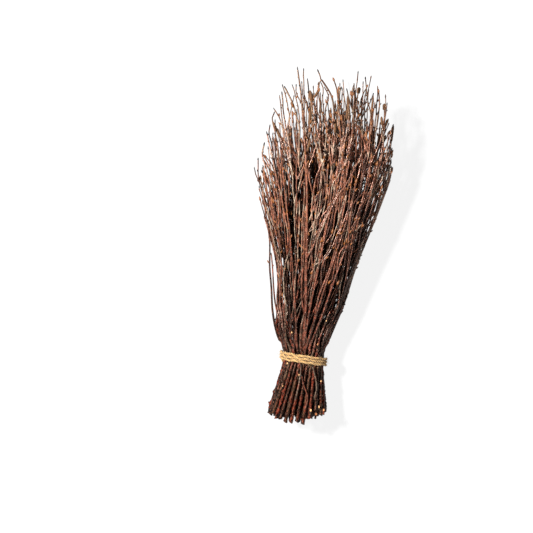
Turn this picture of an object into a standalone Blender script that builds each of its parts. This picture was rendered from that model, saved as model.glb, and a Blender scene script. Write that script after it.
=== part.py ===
"""Bundle of dry birch twigs tied near its cut ends with jute twine, lying on its side.

Metres, +Z up. The twigs run along +Y from their cut ends to their tips, and the bundle
rests on z = 0 with its bounding box centred on the origin. A station is a distance along
the bundle from the lowest cut end.
"""

import math
import random

import bmesh
import bpy
from mathutils import Vector

# Driving dimensions of the whole bundle, in metres
BUNDLE_LENGTH = 0.430
TIE_STATION = 0.080
FAN_STATION = 0.300

# Outline of the bundle: station, sideways centre, half width, underside, mid height, top
OUTLINE = (
    (0.000, -0.0016, 0.0376, 0.0004, 0.0290, 0.0590),
    (0.016, -0.0009, 0.0364, 0.0004, 0.0290, 0.0585),
    (0.040, 0.0020, 0.0306, 0.0034, 0.0292, 0.0563),
    (0.066, 0.0053, 0.0259, 0.0072, 0.0302, 0.0534),
    (0.080, 0.0069, 0.0256, 0.0074, 0.0303, 0.0533),
    (0.089, 0.0078, 0.0265, 0.0072, 0.0303, 0.0535),
    (0.104, 0.0074, 0.0326, 0.0050, 0.0298, 0.0564),
    (0.122, 0.0094, 0.0386, 0.0032, 0.0294, 0.0608),
    (0.147, 0.0173, 0.0433, 0.0008, 0.0287, 0.0670),
    (0.172, 0.0200, 0.0466, 0.0004, 0.0289, 0.0730),
    (0.200, 0.0236, 0.0516, 0.0004, 0.0296, 0.0794),
    (0.240, 0.0258, 0.0647, 0.0004, 0.0306, 0.0878),
    (0.293, 0.0290, 0.0800, 0.0004, 0.0320, 0.0970),
    (0.335, 0.0309, 0.0875, 0.0004, 0.0330, 0.1030),
    (0.430, 0.0360, 0.1000, 0.0004, 0.0350, 0.1130),
)
LOWER_FLATNESS = 2.5
UPPER_FLATNESS = 2.0

# Twigs: stations that every twig bends at, their taper, the gap between neighbours, where and
# how far they wander from their ring past the tie, and how ragged their ends are
BEND_STATIONS = (0.071, 0.089, 0.104, 0.122, 0.147, 0.172, 0.200, 0.240, 0.290, 0.350)
LEAST_END_STEP = 0.012
TIP_SHARE = 0.27
TAPER_POWER = 1.15
NEIGHBOUR_GAP = 0.00045
WANDER_START = 0.094
WANDER_GROWTH = 0.085
DEPTH_WANDER = 0.0024
TURN_WANDER = 0.30
BASE_BOW = 0.011
RAGGED_BASE = 0.0065
TIP_DROP = 0.005
LEFT_SHOULDER_DROP = 0.107
RIGHT_SHOULDER_DROP = 0.077
RAGGED_TOP = 0.085
RAGGED_SIDE_SHARE = 0.4
LAYER_SEED = 47

# Layers of twigs from the outside inwards: count, thinnest and thickest butt radius,
# lean in degrees at the cut ends and in the fan
LAYERS = (
    {"name": "outer_twig", "count": 27, "radii": (0.0021, 0.0028), "leans": (15.0, -17.0)},
    {"name": "middle_twig", "count": 21, "radii": (0.0019, 0.0026), "leans": (-13.0, 16.0)},
    {"name": "deep_twig", "count": 10, "radii": (0.0018, 0.0025), "leans": (7.0, -10.0)},
)

# The solid of the remaining inner twigs
DOME_START = 0.290
DOME_END = 0.4315
INNER_START = 0.007
INNER_END = 0.430
INNER_SIDES = 22

# Jute twine: three turns and a knot on the underside, a little to the left
TWINE_DIAMETER = 0.0031
TWINE_GAP = 0.0009
TWINE_POINT_SPACING = 0.0060
TWINE_STATION = 0.0778
TWINE_PITCH = 0.0034
TWINE_TURNS = 3
TWINE_SLANT = -0.152
KNOT_ANGLE = math.radians(230.0)
KNOT_STEPS = 12
KNOT_HALF_LENGTH = 0.0056
KNOT_RISE = 1.65
KNOT_RADIUS = 0.57
TAIL_LENGTH = 0.019
TAIL_LIFT = 0.0010
TAIL_RISE = 0.0045
# Where a tail lies: share of its length from the knot, and degrees round the bundle from it
TAIL_PLACES = ((1.0, 14.0), (0.62, 8.0), (0.3, -4.0))

BARK_COLOURS = (
    ("dark_bark", (0.028, 0.014, 0.009, 1.0)),
    ("red_bark", (0.170, 0.043, 0.024, 1.0)),
    ("grey_brown_bark", (0.110, 0.062, 0.043, 1.0)),
)
BARK_ROUGHNESS = 0.72
JUTE_COLOUR = (0.52, 0.33, 0.12, 1.0)
JUTE_ROUGHNESS = 0.95


def clear_scene():
    for obj in list(bpy.data.objects):
        bpy.data.objects.remove(obj, do_unlink=True)


def make_material(name, colour, roughness):
    material = bpy.data.materials.new(name)
    material.use_nodes = True
    shader = material.node_tree.nodes["Principled BSDF"]
    shader.inputs["Base Color"].default_value = colour
    shader.inputs["Roughness"].default_value = roughness
    shader.inputs["Metallic"].default_value = 0.0
    return material


def smooth_step(share):
    share = min(1.0, max(0.0, share))
    return share * share * (3.0 - 2.0 * share)


def outline_at(station):
    """Smooth reading of the outline: centre, half width, underside, mid height, top."""
    last = len(OUTLINE) - 2
    row = 0
    while row < last and station > OUTLINE[row + 1][0]:
        row += 1
    before = OUTLINE[max(row - 1, 0)]
    low = OUTLINE[row]
    high = OUTLINE[row + 1]
    after = OUTLINE[min(row + 2, last + 1)]
    span = high[0] - low[0]
    share = (station - low[0]) / span
    values = []
    for column in range(1, len(low)):
        rise_low = (high[column] - before[column]) / (high[0] - before[0])
        rise_high = (after[column] - low[column]) / (after[0] - low[0])
        square = share * share
        cube = square * share
        values.append(
            (2 * cube - 3 * square + 1) * low[column]
            + (cube - 2 * square + share) * span * rise_low
            + (3 * square - 2 * cube) * high[column]
            + (cube - square) * span * rise_high
        )
    return values


def power_share(value, flatness):
    return math.copysign(abs(value) ** (2.0 / flatness), value)


def section_point(station, angle, depth, shrink=1.0):
    """Point inside the outline at this depth under it. Angle 0 is +X and 90 degrees is up."""
    centre, half_width, underside, middle, top = outline_at(station)
    up = math.sin(angle)
    height = top - middle if up >= 0 else middle - underside
    flatness = UPPER_FLATNESS if up >= 0 else LOWER_FLATNESS
    x = centre + (half_width - depth) * shrink * power_share(math.cos(angle), flatness)
    z = middle + (height - depth) * shrink * power_share(up, flatness)
    return Vector((x, station, z))


def taper_at(station, start, end):
    share = max(0.0, station - start) / (BUNDLE_LENGTH - start)
    full = 1.0 - (1.0 - TIP_SHARE) * share**TAPER_POWER
    last = smooth_step((end - station) / 0.03)
    return full * (0.72 + 0.28 * last)


def layer_band(layer, station):
    """Thickness that a layer of twigs takes up under the one outside it."""
    thickest = layer["radii"][1] * taper_at(station, 0.0, BUNDLE_LENGTH)
    room = DEPTH_WANDER * smooth_step((station - WANDER_START) / WANDER_GROWTH)
    return 2.0 * thickest + room + NEIGHBOUR_GAP


def depth_of_layer(index, station):
    return sum(layer_band(layer, station) for layer in LAYERS[:index])


def lean_at(leans, station):
    at_base, in_fan = (math.radians(lean) for lean in leans)
    if station < TIE_STATION:
        return at_base * (1.0 - station / TIE_STATION)
    return in_fan * smooth_step((station - TIE_STATION) / (FAN_STATION - TIE_STATION))


def angles_round_tie(radii, depth, dice):
    """Angles that place twigs of these radii round the tie, with uneven gaps between them."""
    steps = 1440
    points = [section_point(TIE_STATION, math.tau * i / steps, depth) for i in range(steps + 1)]
    lengths = [0.0]
    for first, second in zip(points, points[1:]):
        lengths.append(lengths[-1] + (second - first).length)
    needed = sum(2.0 * radius + NEIGHBOUR_GAP for radius in radii)
    spare = lengths[-1] - needed
    if spare < 0:
        raise ValueError("the twigs don't fit round the tie")
    shares = [dice.uniform(0.1, 1.0) ** 2 for _ in radii]
    whole = sum(shares)
    angles = []
    place = dice.uniform(0.0, 0.004)
    for radius, share in zip(radii, shares):
        centre = (place + radius + 0.5 * NEIGHBOUR_GAP) % lengths[-1]
        step = next(i for i in range(steps) if lengths[i + 1] >= centre)
        part = (centre - lengths[step]) / (lengths[step + 1] - lengths[step])
        angles.append(math.tau * (step + part) / steps)
        place += 2.0 * radius + NEIGHBOUR_GAP + spare * share / whole
    return angles


def twig_ends(leans, angle, dice):
    """Stations of a twig's cut end and its tip: the base bows out and the fan is highest inside."""
    at_base = abs(math.cos(angle + lean_at(leans, 0.0)))
    across = math.cos(angle + lean_at(leans, FAN_STATION))
    start = BASE_BOW * at_base**2.2 + dice.uniform(0.0, RAGGED_BASE)
    shoulder = smooth_step((abs(across) - 0.35) / 0.65)
    drop = LEFT_SHOULDER_DROP if across < 0 else RIGHT_SHOULDER_DROP
    ragged = RAGGED_TOP * (1.0 - (1.0 - RAGGED_SIDE_SHARE) * shoulder)
    end = BUNDLE_LENGTH - TIP_DROP - drop * shoulder - dice.uniform(0.0, ragged)
    return start, end


def twig_path(index, layer, angle, spacing, radius, dice):
    """Points and radii of one twig, from its cut end to its tip."""
    start, end = twig_ends(layer["leans"], angle, dice)
    phase = dice.uniform(0.0, math.tau)
    waves = dice.uniform(1.0, 2.2)
    side = dice.uniform(-1.0, 1.0)
    stations = [start]
    stations += [s for s in BEND_STATIONS if start + LEAST_END_STEP < s < end - LEAST_END_STEP]
    stations.append(end)
    points = []
    radii = []
    for station in stations:
        free = smooth_step((station - WANDER_START) / WANDER_GROWTH)
        swing = math.sin(phase + waves * math.tau * station / BUNDLE_LENGTH)
        wander = 0.5 * (1.0 + math.cos(phase + 5.0 * station / BUNDLE_LENGTH))
        here = radius * taper_at(station, start, end)
        thickest = layer["radii"][1] * taper_at(station, 0.0, BUNDLE_LENGTH)
        slack = 2.0 * max(0.0, thickest - here) + DEPTH_WANDER * free
        depth = depth_of_layer(index, station) + here + wander * slack * (index > 0 or free)
        turn = lean_at(layer["leans"], station)
        turn += TURN_WANDER * spacing * free * (0.6 * swing + 0.4 * side)
        points.append(section_point(station, angle + turn, depth))
        radii.append(here)
    return points, radii


def make_tube(name, points, radii, round_steps, material):
    """Round tapering tube through these points, closed at both ends."""
    curve = bpy.data.curves.new(name, "CURVE")
    curve.dimensions = "3D"
    curve.bevel_depth = 1.0
    curve.bevel_resolution = round_steps
    curve.use_fill_caps = True
    spline = curve.splines.new("POLY")
    spline.points.add(len(points) - 1)
    for knot, point, radius in zip(spline.points, points, radii):
        knot.co = (point.x, point.y, point.z, 1.0)
        knot.radius = radius
    spline.use_smooth = True
    curve.materials.append(material)
    obj = bpy.data.objects.new(name, curve)
    bpy.context.collection.objects.link(obj)
    return obj


def make_twig_layer(index, barks):
    """One ring of twigs, none touching the next."""
    layer = LAYERS[index]
    dice = random.Random(LAYER_SEED + index)
    radii = [dice.uniform(*layer["radii"]) for _ in range(layer["count"])]
    at_tie = [radius * taper_at(TIE_STATION, 0.0, BUNDLE_LENGTH) for radius in radii]
    thickest = max(at_tie)
    angles = angles_round_tie(at_tie, depth_of_layer(index, TIE_STATION) + thickest, dice)
    spacing = math.tau / layer["count"]
    twigs = []
    for number, (angle, radius) in enumerate(zip(angles, radii), start=1):
        points, widths = twig_path(index, layer, angle, spacing, radius, dice)
        name = f"{layer['name']}_{number:02d}"
        twigs.append(make_tube(name, points, widths, 1, barks[(number + index) % len(barks)]))
    return twigs


def inner_shrink(station):
    """Share of the full section that the inner twigs keep as the fan's top rounds over."""
    share = max(0.0, station - DOME_START) / (DOME_END - DOME_START)
    return math.sqrt(max(0.0, 1.0 - share**3))


def make_inner_twigs(material):
    """Closed solid that reaches the tips of the twigs inside the three outer layers."""
    stations = [INNER_START]
    stations += [s for s in BEND_STATIONS if s < INNER_END]
    stations += [0.385, 0.415, INNER_END]
    stations.sort()
    shape = bmesh.new()
    rings = []
    for station in stations:
        depth = depth_of_layer(len(LAYERS), station) + NEIGHBOUR_GAP
        ring = bmesh.ops.create_circle(shape, segments=INNER_SIDES, radius=1.0)["verts"]
        for step, vertex in enumerate(ring):
            angle = math.tau * step / INNER_SIDES
            vertex.co = section_point(station, angle, depth, inner_shrink(station))
        rings.append([edge for edge in shape.edges if edge.verts[0] in ring and edge.verts[1] in ring])
    for low, high in zip(rings, rings[1:]):
        bmesh.ops.bridge_loops(shape, edges=low + high)
    bmesh.ops.edgenet_fill(shape, edges=rings[0])
    bmesh.ops.edgenet_fill(shape, edges=rings[-1])
    bmesh.ops.recalc_face_normals(shape, faces=shape.faces)
    mesh = bpy.data.meshes.new("inner_twigs")
    shape.to_mesh(mesh)
    shape.free()
    mesh.materials.append(material)
    mesh.shade_smooth()
    obj = bpy.data.objects.new("inner_twigs", mesh)
    bpy.context.collection.objects.link(obj)
    return obj


def twine_place(angle, along, lift):
    """Point on the slanted band round the tie: along it by angle, across it, and outwards."""
    flat = section_point(TWINE_STATION, angle, 0.0)
    centre = outline_at(TWINE_STATION)[0]
    station = TWINE_STATION + along + TWINE_SLANT * (flat.x - centre)
    return section_point(station, angle, -(0.5 * TWINE_DIAMETER + TWINE_GAP + lift))


def knot_frame():
    """Knot centre on the band, with its directions round the bundle, along it and outwards."""
    place = twine_place(KNOT_ANGLE, 0.0, 0.0)
    ahead = twine_place(KNOT_ANGLE + 0.02, 0.0, 0.0)
    round_way = (ahead - place).normalized()
    along = Vector((0.0, 1.0, 0.0))
    along = (along - along.dot(round_way) * round_way).normalized()
    outwards = round_way.cross(along)
    if outwards.dot(place - section_point(TWINE_STATION, KNOT_ANGLE, 0.01)) < 0:
        outwards = -outwards
    return place, round_way, along, outwards


def knot_tail(direction):
    """Free end of one strand, from its cut end to the knot, lying along the twigs' underside."""
    side = -direction
    centre = outline_at(TWINE_STATION)[0]
    slant = TWINE_SLANT * (section_point(TWINE_STATION, KNOT_ANGLE, 0.0).x - centre)
    points = []
    for share, degrees in TAIL_PLACES:
        station = TWINE_STATION + slant + side * (0.003 + TAIL_LENGTH * share)
        lift = 0.5 * TWINE_DIAMETER + TAIL_LIFT + TAIL_RISE * (1.0 - share)
        turn = math.radians(abs(degrees) if side > 0 else degrees)
        points.append(section_point(station, KNOT_ANGLE + turn, -lift))
    return points


def knot_strand(direction):
    """One strand through the overhand knot, from its tail's end to where it joins the turns.

    The two strands pass each other along the band and wind once round each other.
    """
    place, round_way, along, outwards = knot_frame()
    radius = KNOT_RADIUS * TWINE_DIAMETER
    level = KNOT_RISE * TWINE_DIAMETER
    opposite = 0.0 if direction > 0 else math.pi
    strand = []
    for step in range(KNOT_STEPS + 1):
        share = step / KNOT_STEPS
        reach = direction * KNOT_HALF_LENGTH * (2.0 * share - 1.0)
        phase = math.pi * (2.0 + reach / KNOT_HALF_LENGTH) + opposite
        strand.append(
            place
            + reach * round_way
            + radius * math.cos(phase) * along
            + (level + radius * math.sin(phase)) * outwards
        )
    return knot_tail(direction) + strand


def smooth_route(points, spacing):
    """Points at even spacing along a smooth curve through these ones."""
    padded = [2 * points[0] - points[1], *points, 2 * points[-1] - points[-2]]
    fine = []
    for a, b, c, d in zip(padded, padded[1:], padded[2:], padded[3:]):
        for step in range(12):
            t = step / 12
            fine.append(
                0.5
                * (
                    2 * b
                    + (c - a) * t
                    + (2 * a - 5 * b + 4 * c - d) * t * t
                    + (3 * b - a - 3 * c + d) * t * t * t
                )
            )
    fine.append(points[-1])
    even = [fine[0]]
    walked = 0.0
    for first, second in zip(fine, fine[1:]):
        step = (second - first).length
        while step > 0 and walked + step >= spacing:
            first = first.lerp(second, (spacing - walked) / step)
            even.append(first)
            step = (second - first).length
            walked = 0.0
        walked += step
    even[-1] = fine[-1]
    return even


def twine_route():
    """Whole route of the twine: tail, knot, three turns, knot, tail."""
    turns = []
    steps = 20 * TWINE_TURNS
    skip = math.radians(33.0)
    span = math.tau * TWINE_TURNS - 2 * skip
    for step in range(steps + 1):
        turn = skip + span * step / steps
        along = TWINE_PITCH * (turn / math.tau - 0.5 * TWINE_TURNS)
        turns.append(twine_place(KNOT_ANGLE + turn, along, 0.0))
    first = knot_strand(1.0)
    last = knot_strand(-1.0)
    return first + turns + last[::-1]


def make_twine(material):
    route = smooth_route(twine_route(), TWINE_POINT_SPACING)
    return make_tube("jute_twine", route, [0.5 * TWINE_DIAMETER] * len(route), 2, material)


def stand_on_origin(pieces):
    """Parents every piece to an empty that centres the bundle's box and rests it on z = 0."""
    bpy.context.view_layer.update()
    corners = [piece.matrix_world @ Vector(corner) for piece in pieces for corner in piece.bound_box]
    low = Vector([min(corner[axis] for corner in corners) for axis in range(3)])
    high = Vector([max(corner[axis] for corner in corners) for axis in range(3)])
    holder = bpy.data.objects.new("bundle_of_twigs", None)
    holder.location = (-0.5 * (low.x + high.x), -0.5 * (low.y + high.y), -low.z)
    bpy.context.collection.objects.link(holder)
    for piece in pieces:
        piece.parent = holder


def main():
    clear_scene()
    barks = [make_material(name, colour, BARK_ROUGHNESS) for name, colour in BARK_COLOURS]
    jute = make_material("jute", JUTE_COLOUR, JUTE_ROUGHNESS)
    pieces = []
    for index in range(len(LAYERS)):
        pieces += make_twig_layer(index, barks)
    pieces.append(make_inner_twigs(barks[0]))
    pieces.append(make_twine(jute))
    stand_on_origin(pieces)


main()
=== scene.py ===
"""Bundle of dry birch twigs tied with jute twine: side shoots, buds, catkins, bark and twine.

Metres, +Z up. The twigs run along +Y from their cut ends to their tips, and the bundle lies
on z = 0. A place is a vector of four: a point on a middle line and the radius there. A span
is a pair of values that something turns between.
"""

import math
import random
from dataclasses import dataclass

import bmesh
import bpy
from bpy.props import FloatProperty, FloatVectorProperty, IntProperty, PointerProperty
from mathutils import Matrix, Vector


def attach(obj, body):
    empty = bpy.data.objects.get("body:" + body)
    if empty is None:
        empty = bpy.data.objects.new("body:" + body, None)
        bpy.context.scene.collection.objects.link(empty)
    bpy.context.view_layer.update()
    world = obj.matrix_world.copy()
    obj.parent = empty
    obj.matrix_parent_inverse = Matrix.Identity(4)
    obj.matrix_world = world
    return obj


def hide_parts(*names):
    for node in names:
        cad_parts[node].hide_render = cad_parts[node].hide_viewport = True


bl_info = {
    "name": "Bundle of Twigs",
    "version": (1, 0, 0),
    "blender": (4, 5, 0),
    "location": "View3D > Sidebar > Twigs",
    "description": "Grows bark, shoots, buds, catkins and twine on the packed bundle of twigs",
    "category": "Add Mesh",
}

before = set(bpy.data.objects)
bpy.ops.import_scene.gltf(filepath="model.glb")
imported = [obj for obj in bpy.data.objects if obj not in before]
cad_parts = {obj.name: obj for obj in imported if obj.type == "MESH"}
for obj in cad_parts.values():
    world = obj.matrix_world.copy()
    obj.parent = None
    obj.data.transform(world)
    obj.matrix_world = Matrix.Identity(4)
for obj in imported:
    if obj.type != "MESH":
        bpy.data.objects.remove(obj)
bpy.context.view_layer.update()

MM = 0.001
UP = Vector((0.0, 0.0, 1.0))
BLACK = (0.0, 0.0, 0.0, 1.0)
WHITE = (1.0, 1.0, 1.0, 1.0)
GOLDEN_TURN = math.radians(137.5)
TWIG_SIDES = 6
TWINE_SIDES = 8
TIE_Y = -0.134

# The camera's place, and the level at which it sees the listed places
CAMERA = Vector((-0.0698, -0.0247, 1.842))
MIDDLE_LEVEL = 0.050

# The lights: their size and place, and the point that they are turned to. The floor: half of
# its side, and how many millimetres its faint clouds are across.
KEY_LIGHT = (0.25, (-1.20, 0.45, 1.80))
FILL_LIGHT = (0.8, (0.9, -1.3, 1.1))
LIT_POINT = Vector((0.0, 0.0, 0.04))
FLOOR_HALF = 4.0
FLOOR_CLOUDS = 1000 / 6

# Along the bundle: old wood, with its rings close together, ends where the side shoots start;
# low stems fork from a little past the tie; then come the crown and its catkins
SHOOTS_START = -0.030
FORKS_START = TIE_Y + 0.016
CROWN_START = 0.060
CATKINS_START = 0.100

# Stems keep this share of their CAD thickness, at these places along the bundle, and each
# layer of twigs takes this much of that slimming
SLIMMING = ((-0.128, 1.0), (-0.095, 0.62), (-0.010, 0.46), (0.080, 0.44), (0.220, 0.58))
SLIMNESS = {"outer": 1.0, "middle": 1.0, "deep": 0.8, "inner": 0.2}

# Each twig keeps a share of its CAD thickness between these, so that dark gaps show, but
# thickens again to the whole of it toward its cut end. No stem or shoot is thinner than the
# least radius.
GIRTHS = (0.76, 1.0)
CUT_END_SPAN = (-0.185, -0.200)
LEAST_RADIUS = 0.62 * MM

# Where along the bundle the bark turns from old to young, and where the tips darken
YOUNG_SPAN = (-0.170, 0.075)
TIPS_SPAN = (0.115, 0.175)

# Painted shade toward the heart of the bundle: from the edge of its outermost share in, the bark
# is darkened as if older, and past the tie it is painted black there. The shade ends where the crown opens.
PAINTED_HEART_SHADE = 14.0
OUTER_SHARE = 0.04
HEART_SPAN = (0.108, 0.038)
MOST_SHADE = 0.9
PAINTED_BLACK_SPAN = (0.5, 1.5)
PAST_TIE_SPAN = (TIE_Y, TIE_Y + 0.015)

# Forks of the old wood with a tone under this are nearly black, and lose that over the span.
# Other shoots are never older than the first of the least ages, and the listed ones never
# older than the second.
SHADED_TONE = 0.30
SHADED_AGE = -0.4
SHADED_SPAN = (SHOOTS_START, SHOOTS_START + 0.08)
LEAST_SHOOT_AGE = 0.12
LEAST_HAND_AGE = 0.35

# The crown's left side slopes and its right side rounds: where that starts, as a share of the
# half width, and how strongly it drops
CROWN_LEFT = (0.42, 0.23)
CROWN_RIGHT = (0.57, 0.55)

# Past the shortest outer stems the fan widens less and less, by this many more rows in all,
# and shoots that leave its outline are pulled in to this share of it
FAN_GROWTH = 4.0
FAN_ROOM = 1.05

# Distances between a stem's points, between its rings, round a leaf node, and between a
# shoot's joints
STEM_STEP = 3.0 * MM
OLD_RING_STEP = 2.4 * MM
YOUNG_RING_STEP = 5.5 * MM
INNER_RING_STEP = 11 * MM
NODE_RINGS = (-1.1 * MM, 0.0, 1.4 * MM)
NODE_CLEARANCE = 1.5 * MM
KNUCKLE_REACH = 1.3 * MM
SHOOT_STEP = 8.0 * MM

# Leaf nodes: how far the first is from the butt, and how uneven the others are, as shares of
# their mean spacing
FIRST_NODE = (0.4, 0.9)
NODE_GAPS = (0.65, 1.35)

# How lumpy each part of a stem is, against the settings' lumps
BUTT_LUMPS = 2.0
OLD_LUMPS = 0.7
YOUNG_LUMPS = 0.4

# Patches of old wood take these shares off the age of stems and of the listed shoots, and
# bear knobs at this share of a stem's rings. Where stems aren't slimmed, at the heart of the bundle,
# the bark keeps only this share of its age: painted shade.
OLD_STEM_SHADE = 0.75
OLD_HAND_SHADE = 0.6
KNOB_CHANCE = 0.30
UNSLIMMED_SHADE_AGE = 0.15

# Large and small side buds: their sizes, against the full one, and their tones. The bud that
# ends a stem: its length and width. Buds at tips: the width from which one is pale, and how
# deep its foot sits.
LARGE_BUDS = ((0.85, 1.15), (0.6, 1.0))
SMALL_BUDS = ((0.5, 0.7), (0.0, 0.45))
STEM_TIP = (4 * MM, 1.8 * MM)
LARGE_TIP = 3 * MM
TIP_SINK = 0.5 * MM

# Chances of a bud at a joint of a shoot and at a node of a stem, in the crown and below it
SHOOT_BUDS = (0.40, 0.18)
STEM_BUDS = (0.50, 0.24)

# Shoots: room that one needs to fork or to start, chance and lengths of a catkin at its end,
# lengths of the short ones, the thickest that a fork of the old wood gets, and the thinnest
# that the fork of a shoot gets
FORK_ROOM = 22 * MM
SHOOT_ROOM = 25 * MM
CATKIN_CHANCE = 0.06
CATKIN_LENGTHS = (0.010, 0.018)
SHORT_SHOOTS = (0.020, 0.065)
FORK_RADIUS = 1.6 * MM
THINNEST_FORK = 0.45 * MM

# How a shoot runs: its first angle as shares of the settings' angle, what it loses of its
# thickness, how fast it turns to the fan's direction, and how far its joints bend and turn aside
SHOOT_ANGLES = (0.5, 1.5)
SHOOT_TAPER = 0.35
FAN_PULL = 0.06
SHOOT_KINKS = (0.05, 0.15)
KINK_TURNS = (-0.9, 0.9)

# Lengths of forks, as shares of the rest of the shoot or of the room over a low node, and how
# much wider than those of the old wood the tall and the short shoots of the young wood leave
FORK_LENGTHS = (0.35, 0.9)
LOW_FORK_LENGTHS = (0.25, 1.0)
TALL_LEAN = 1.3
SHORT_LEAN = 2.0

# How much darker or paler than its stem a shoot or a fork of the old wood is, and the palest
SHOOT_TONES = (-0.2, 0.5)
FORK_TONES = (-0.60, 0.5)
PALEST_SHOOT = 0.85

# How high the listed shoots lie over the outer stems' middle lines, and how soon they do.
# Those that start in the crown lie under its top instead. Each leaves its stem this far below
# its first place: low down, and higher up.
HAND_RISE = 3.4 * MM
HAND_DROP = -4 * MM
HAND_CLIMB = 28 * MM
HAND_FEET = (5 * MM, 45 * MM)

# Twigs at the heart: the share of the fan's outline that they fill at the tie, how much more of
# it they fill by the end of the span, how uneven their butts are, how far their lines lean, how
# thick they are against the settings, where along the bundle the crown's edge over each of them
# is read, and how many places a line has
INNER_ROOM = 0.42
INNER_SPREAD = 0.44
INNER_SPAN = (TIE_Y, TIE_Y + 0.16)
INNER_BUTTS = (0.0, 0.006)
INNER_LEAN = (-0.25, 0.25)
INNER_RADII = (0.85, 1.2)
INNER_AIM = 0.10
INNER_PLACES = 13

# A cut stem end leans this much, a pruned stub more. Few cuts are fresh, and a fresh cut and a
# weathered one are told apart by these marks.
CUT_SLANT = 0.45
STUB_SLANT = 2.2
STUB_LENGTH = 6.5 * MM
FRESH_CHANCE = 0.18
FRESH = 1.0
WEATHERED = 0.7

# Least gap under anything that would touch the floor
FLOOR_GAP = 0.3 * MM

# What a skeleton's points stand for
STEM, SHOOT, BUD, CATKIN, KNOB = range(5)

# Darkest and palest tone of a twig in each of the record's finishes
TONES = {"dark_bark": (0.0, 0.42), "red_bark": (0.45, 0.78), "grey_brown_bark": (0.80, 1.0)}

# Twine: how pale each ply is, the plies' and strands' distance from the middle as shares of the
# diameter, faces round a strand and round a fibre, the step along the route, and the stray
# fibres' lengths, thickness and least height
PLY_TONES = (0.95, 0.45, 0.75)
PLY_PLACE = 0.30
STRAND_PLACE = 0.135
YARN_SIDES = (5, 3)
TWINE_STEP = 0.8 * MM
FIBRE_LENGTHS = (0.0015, 0.0050)
FIBRE_RADIUS = 0.06 * MM
FIBRE_GAP = 0.2 * MM

# The twine strays in waves, each of which takes this many millimetres of it for one radian, and
# its strands turn this much faster than its plies, the other way
STRAY_WAVES = (1.9, 3.1, 5.3)
STRAND_TWIST = 1.6
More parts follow.
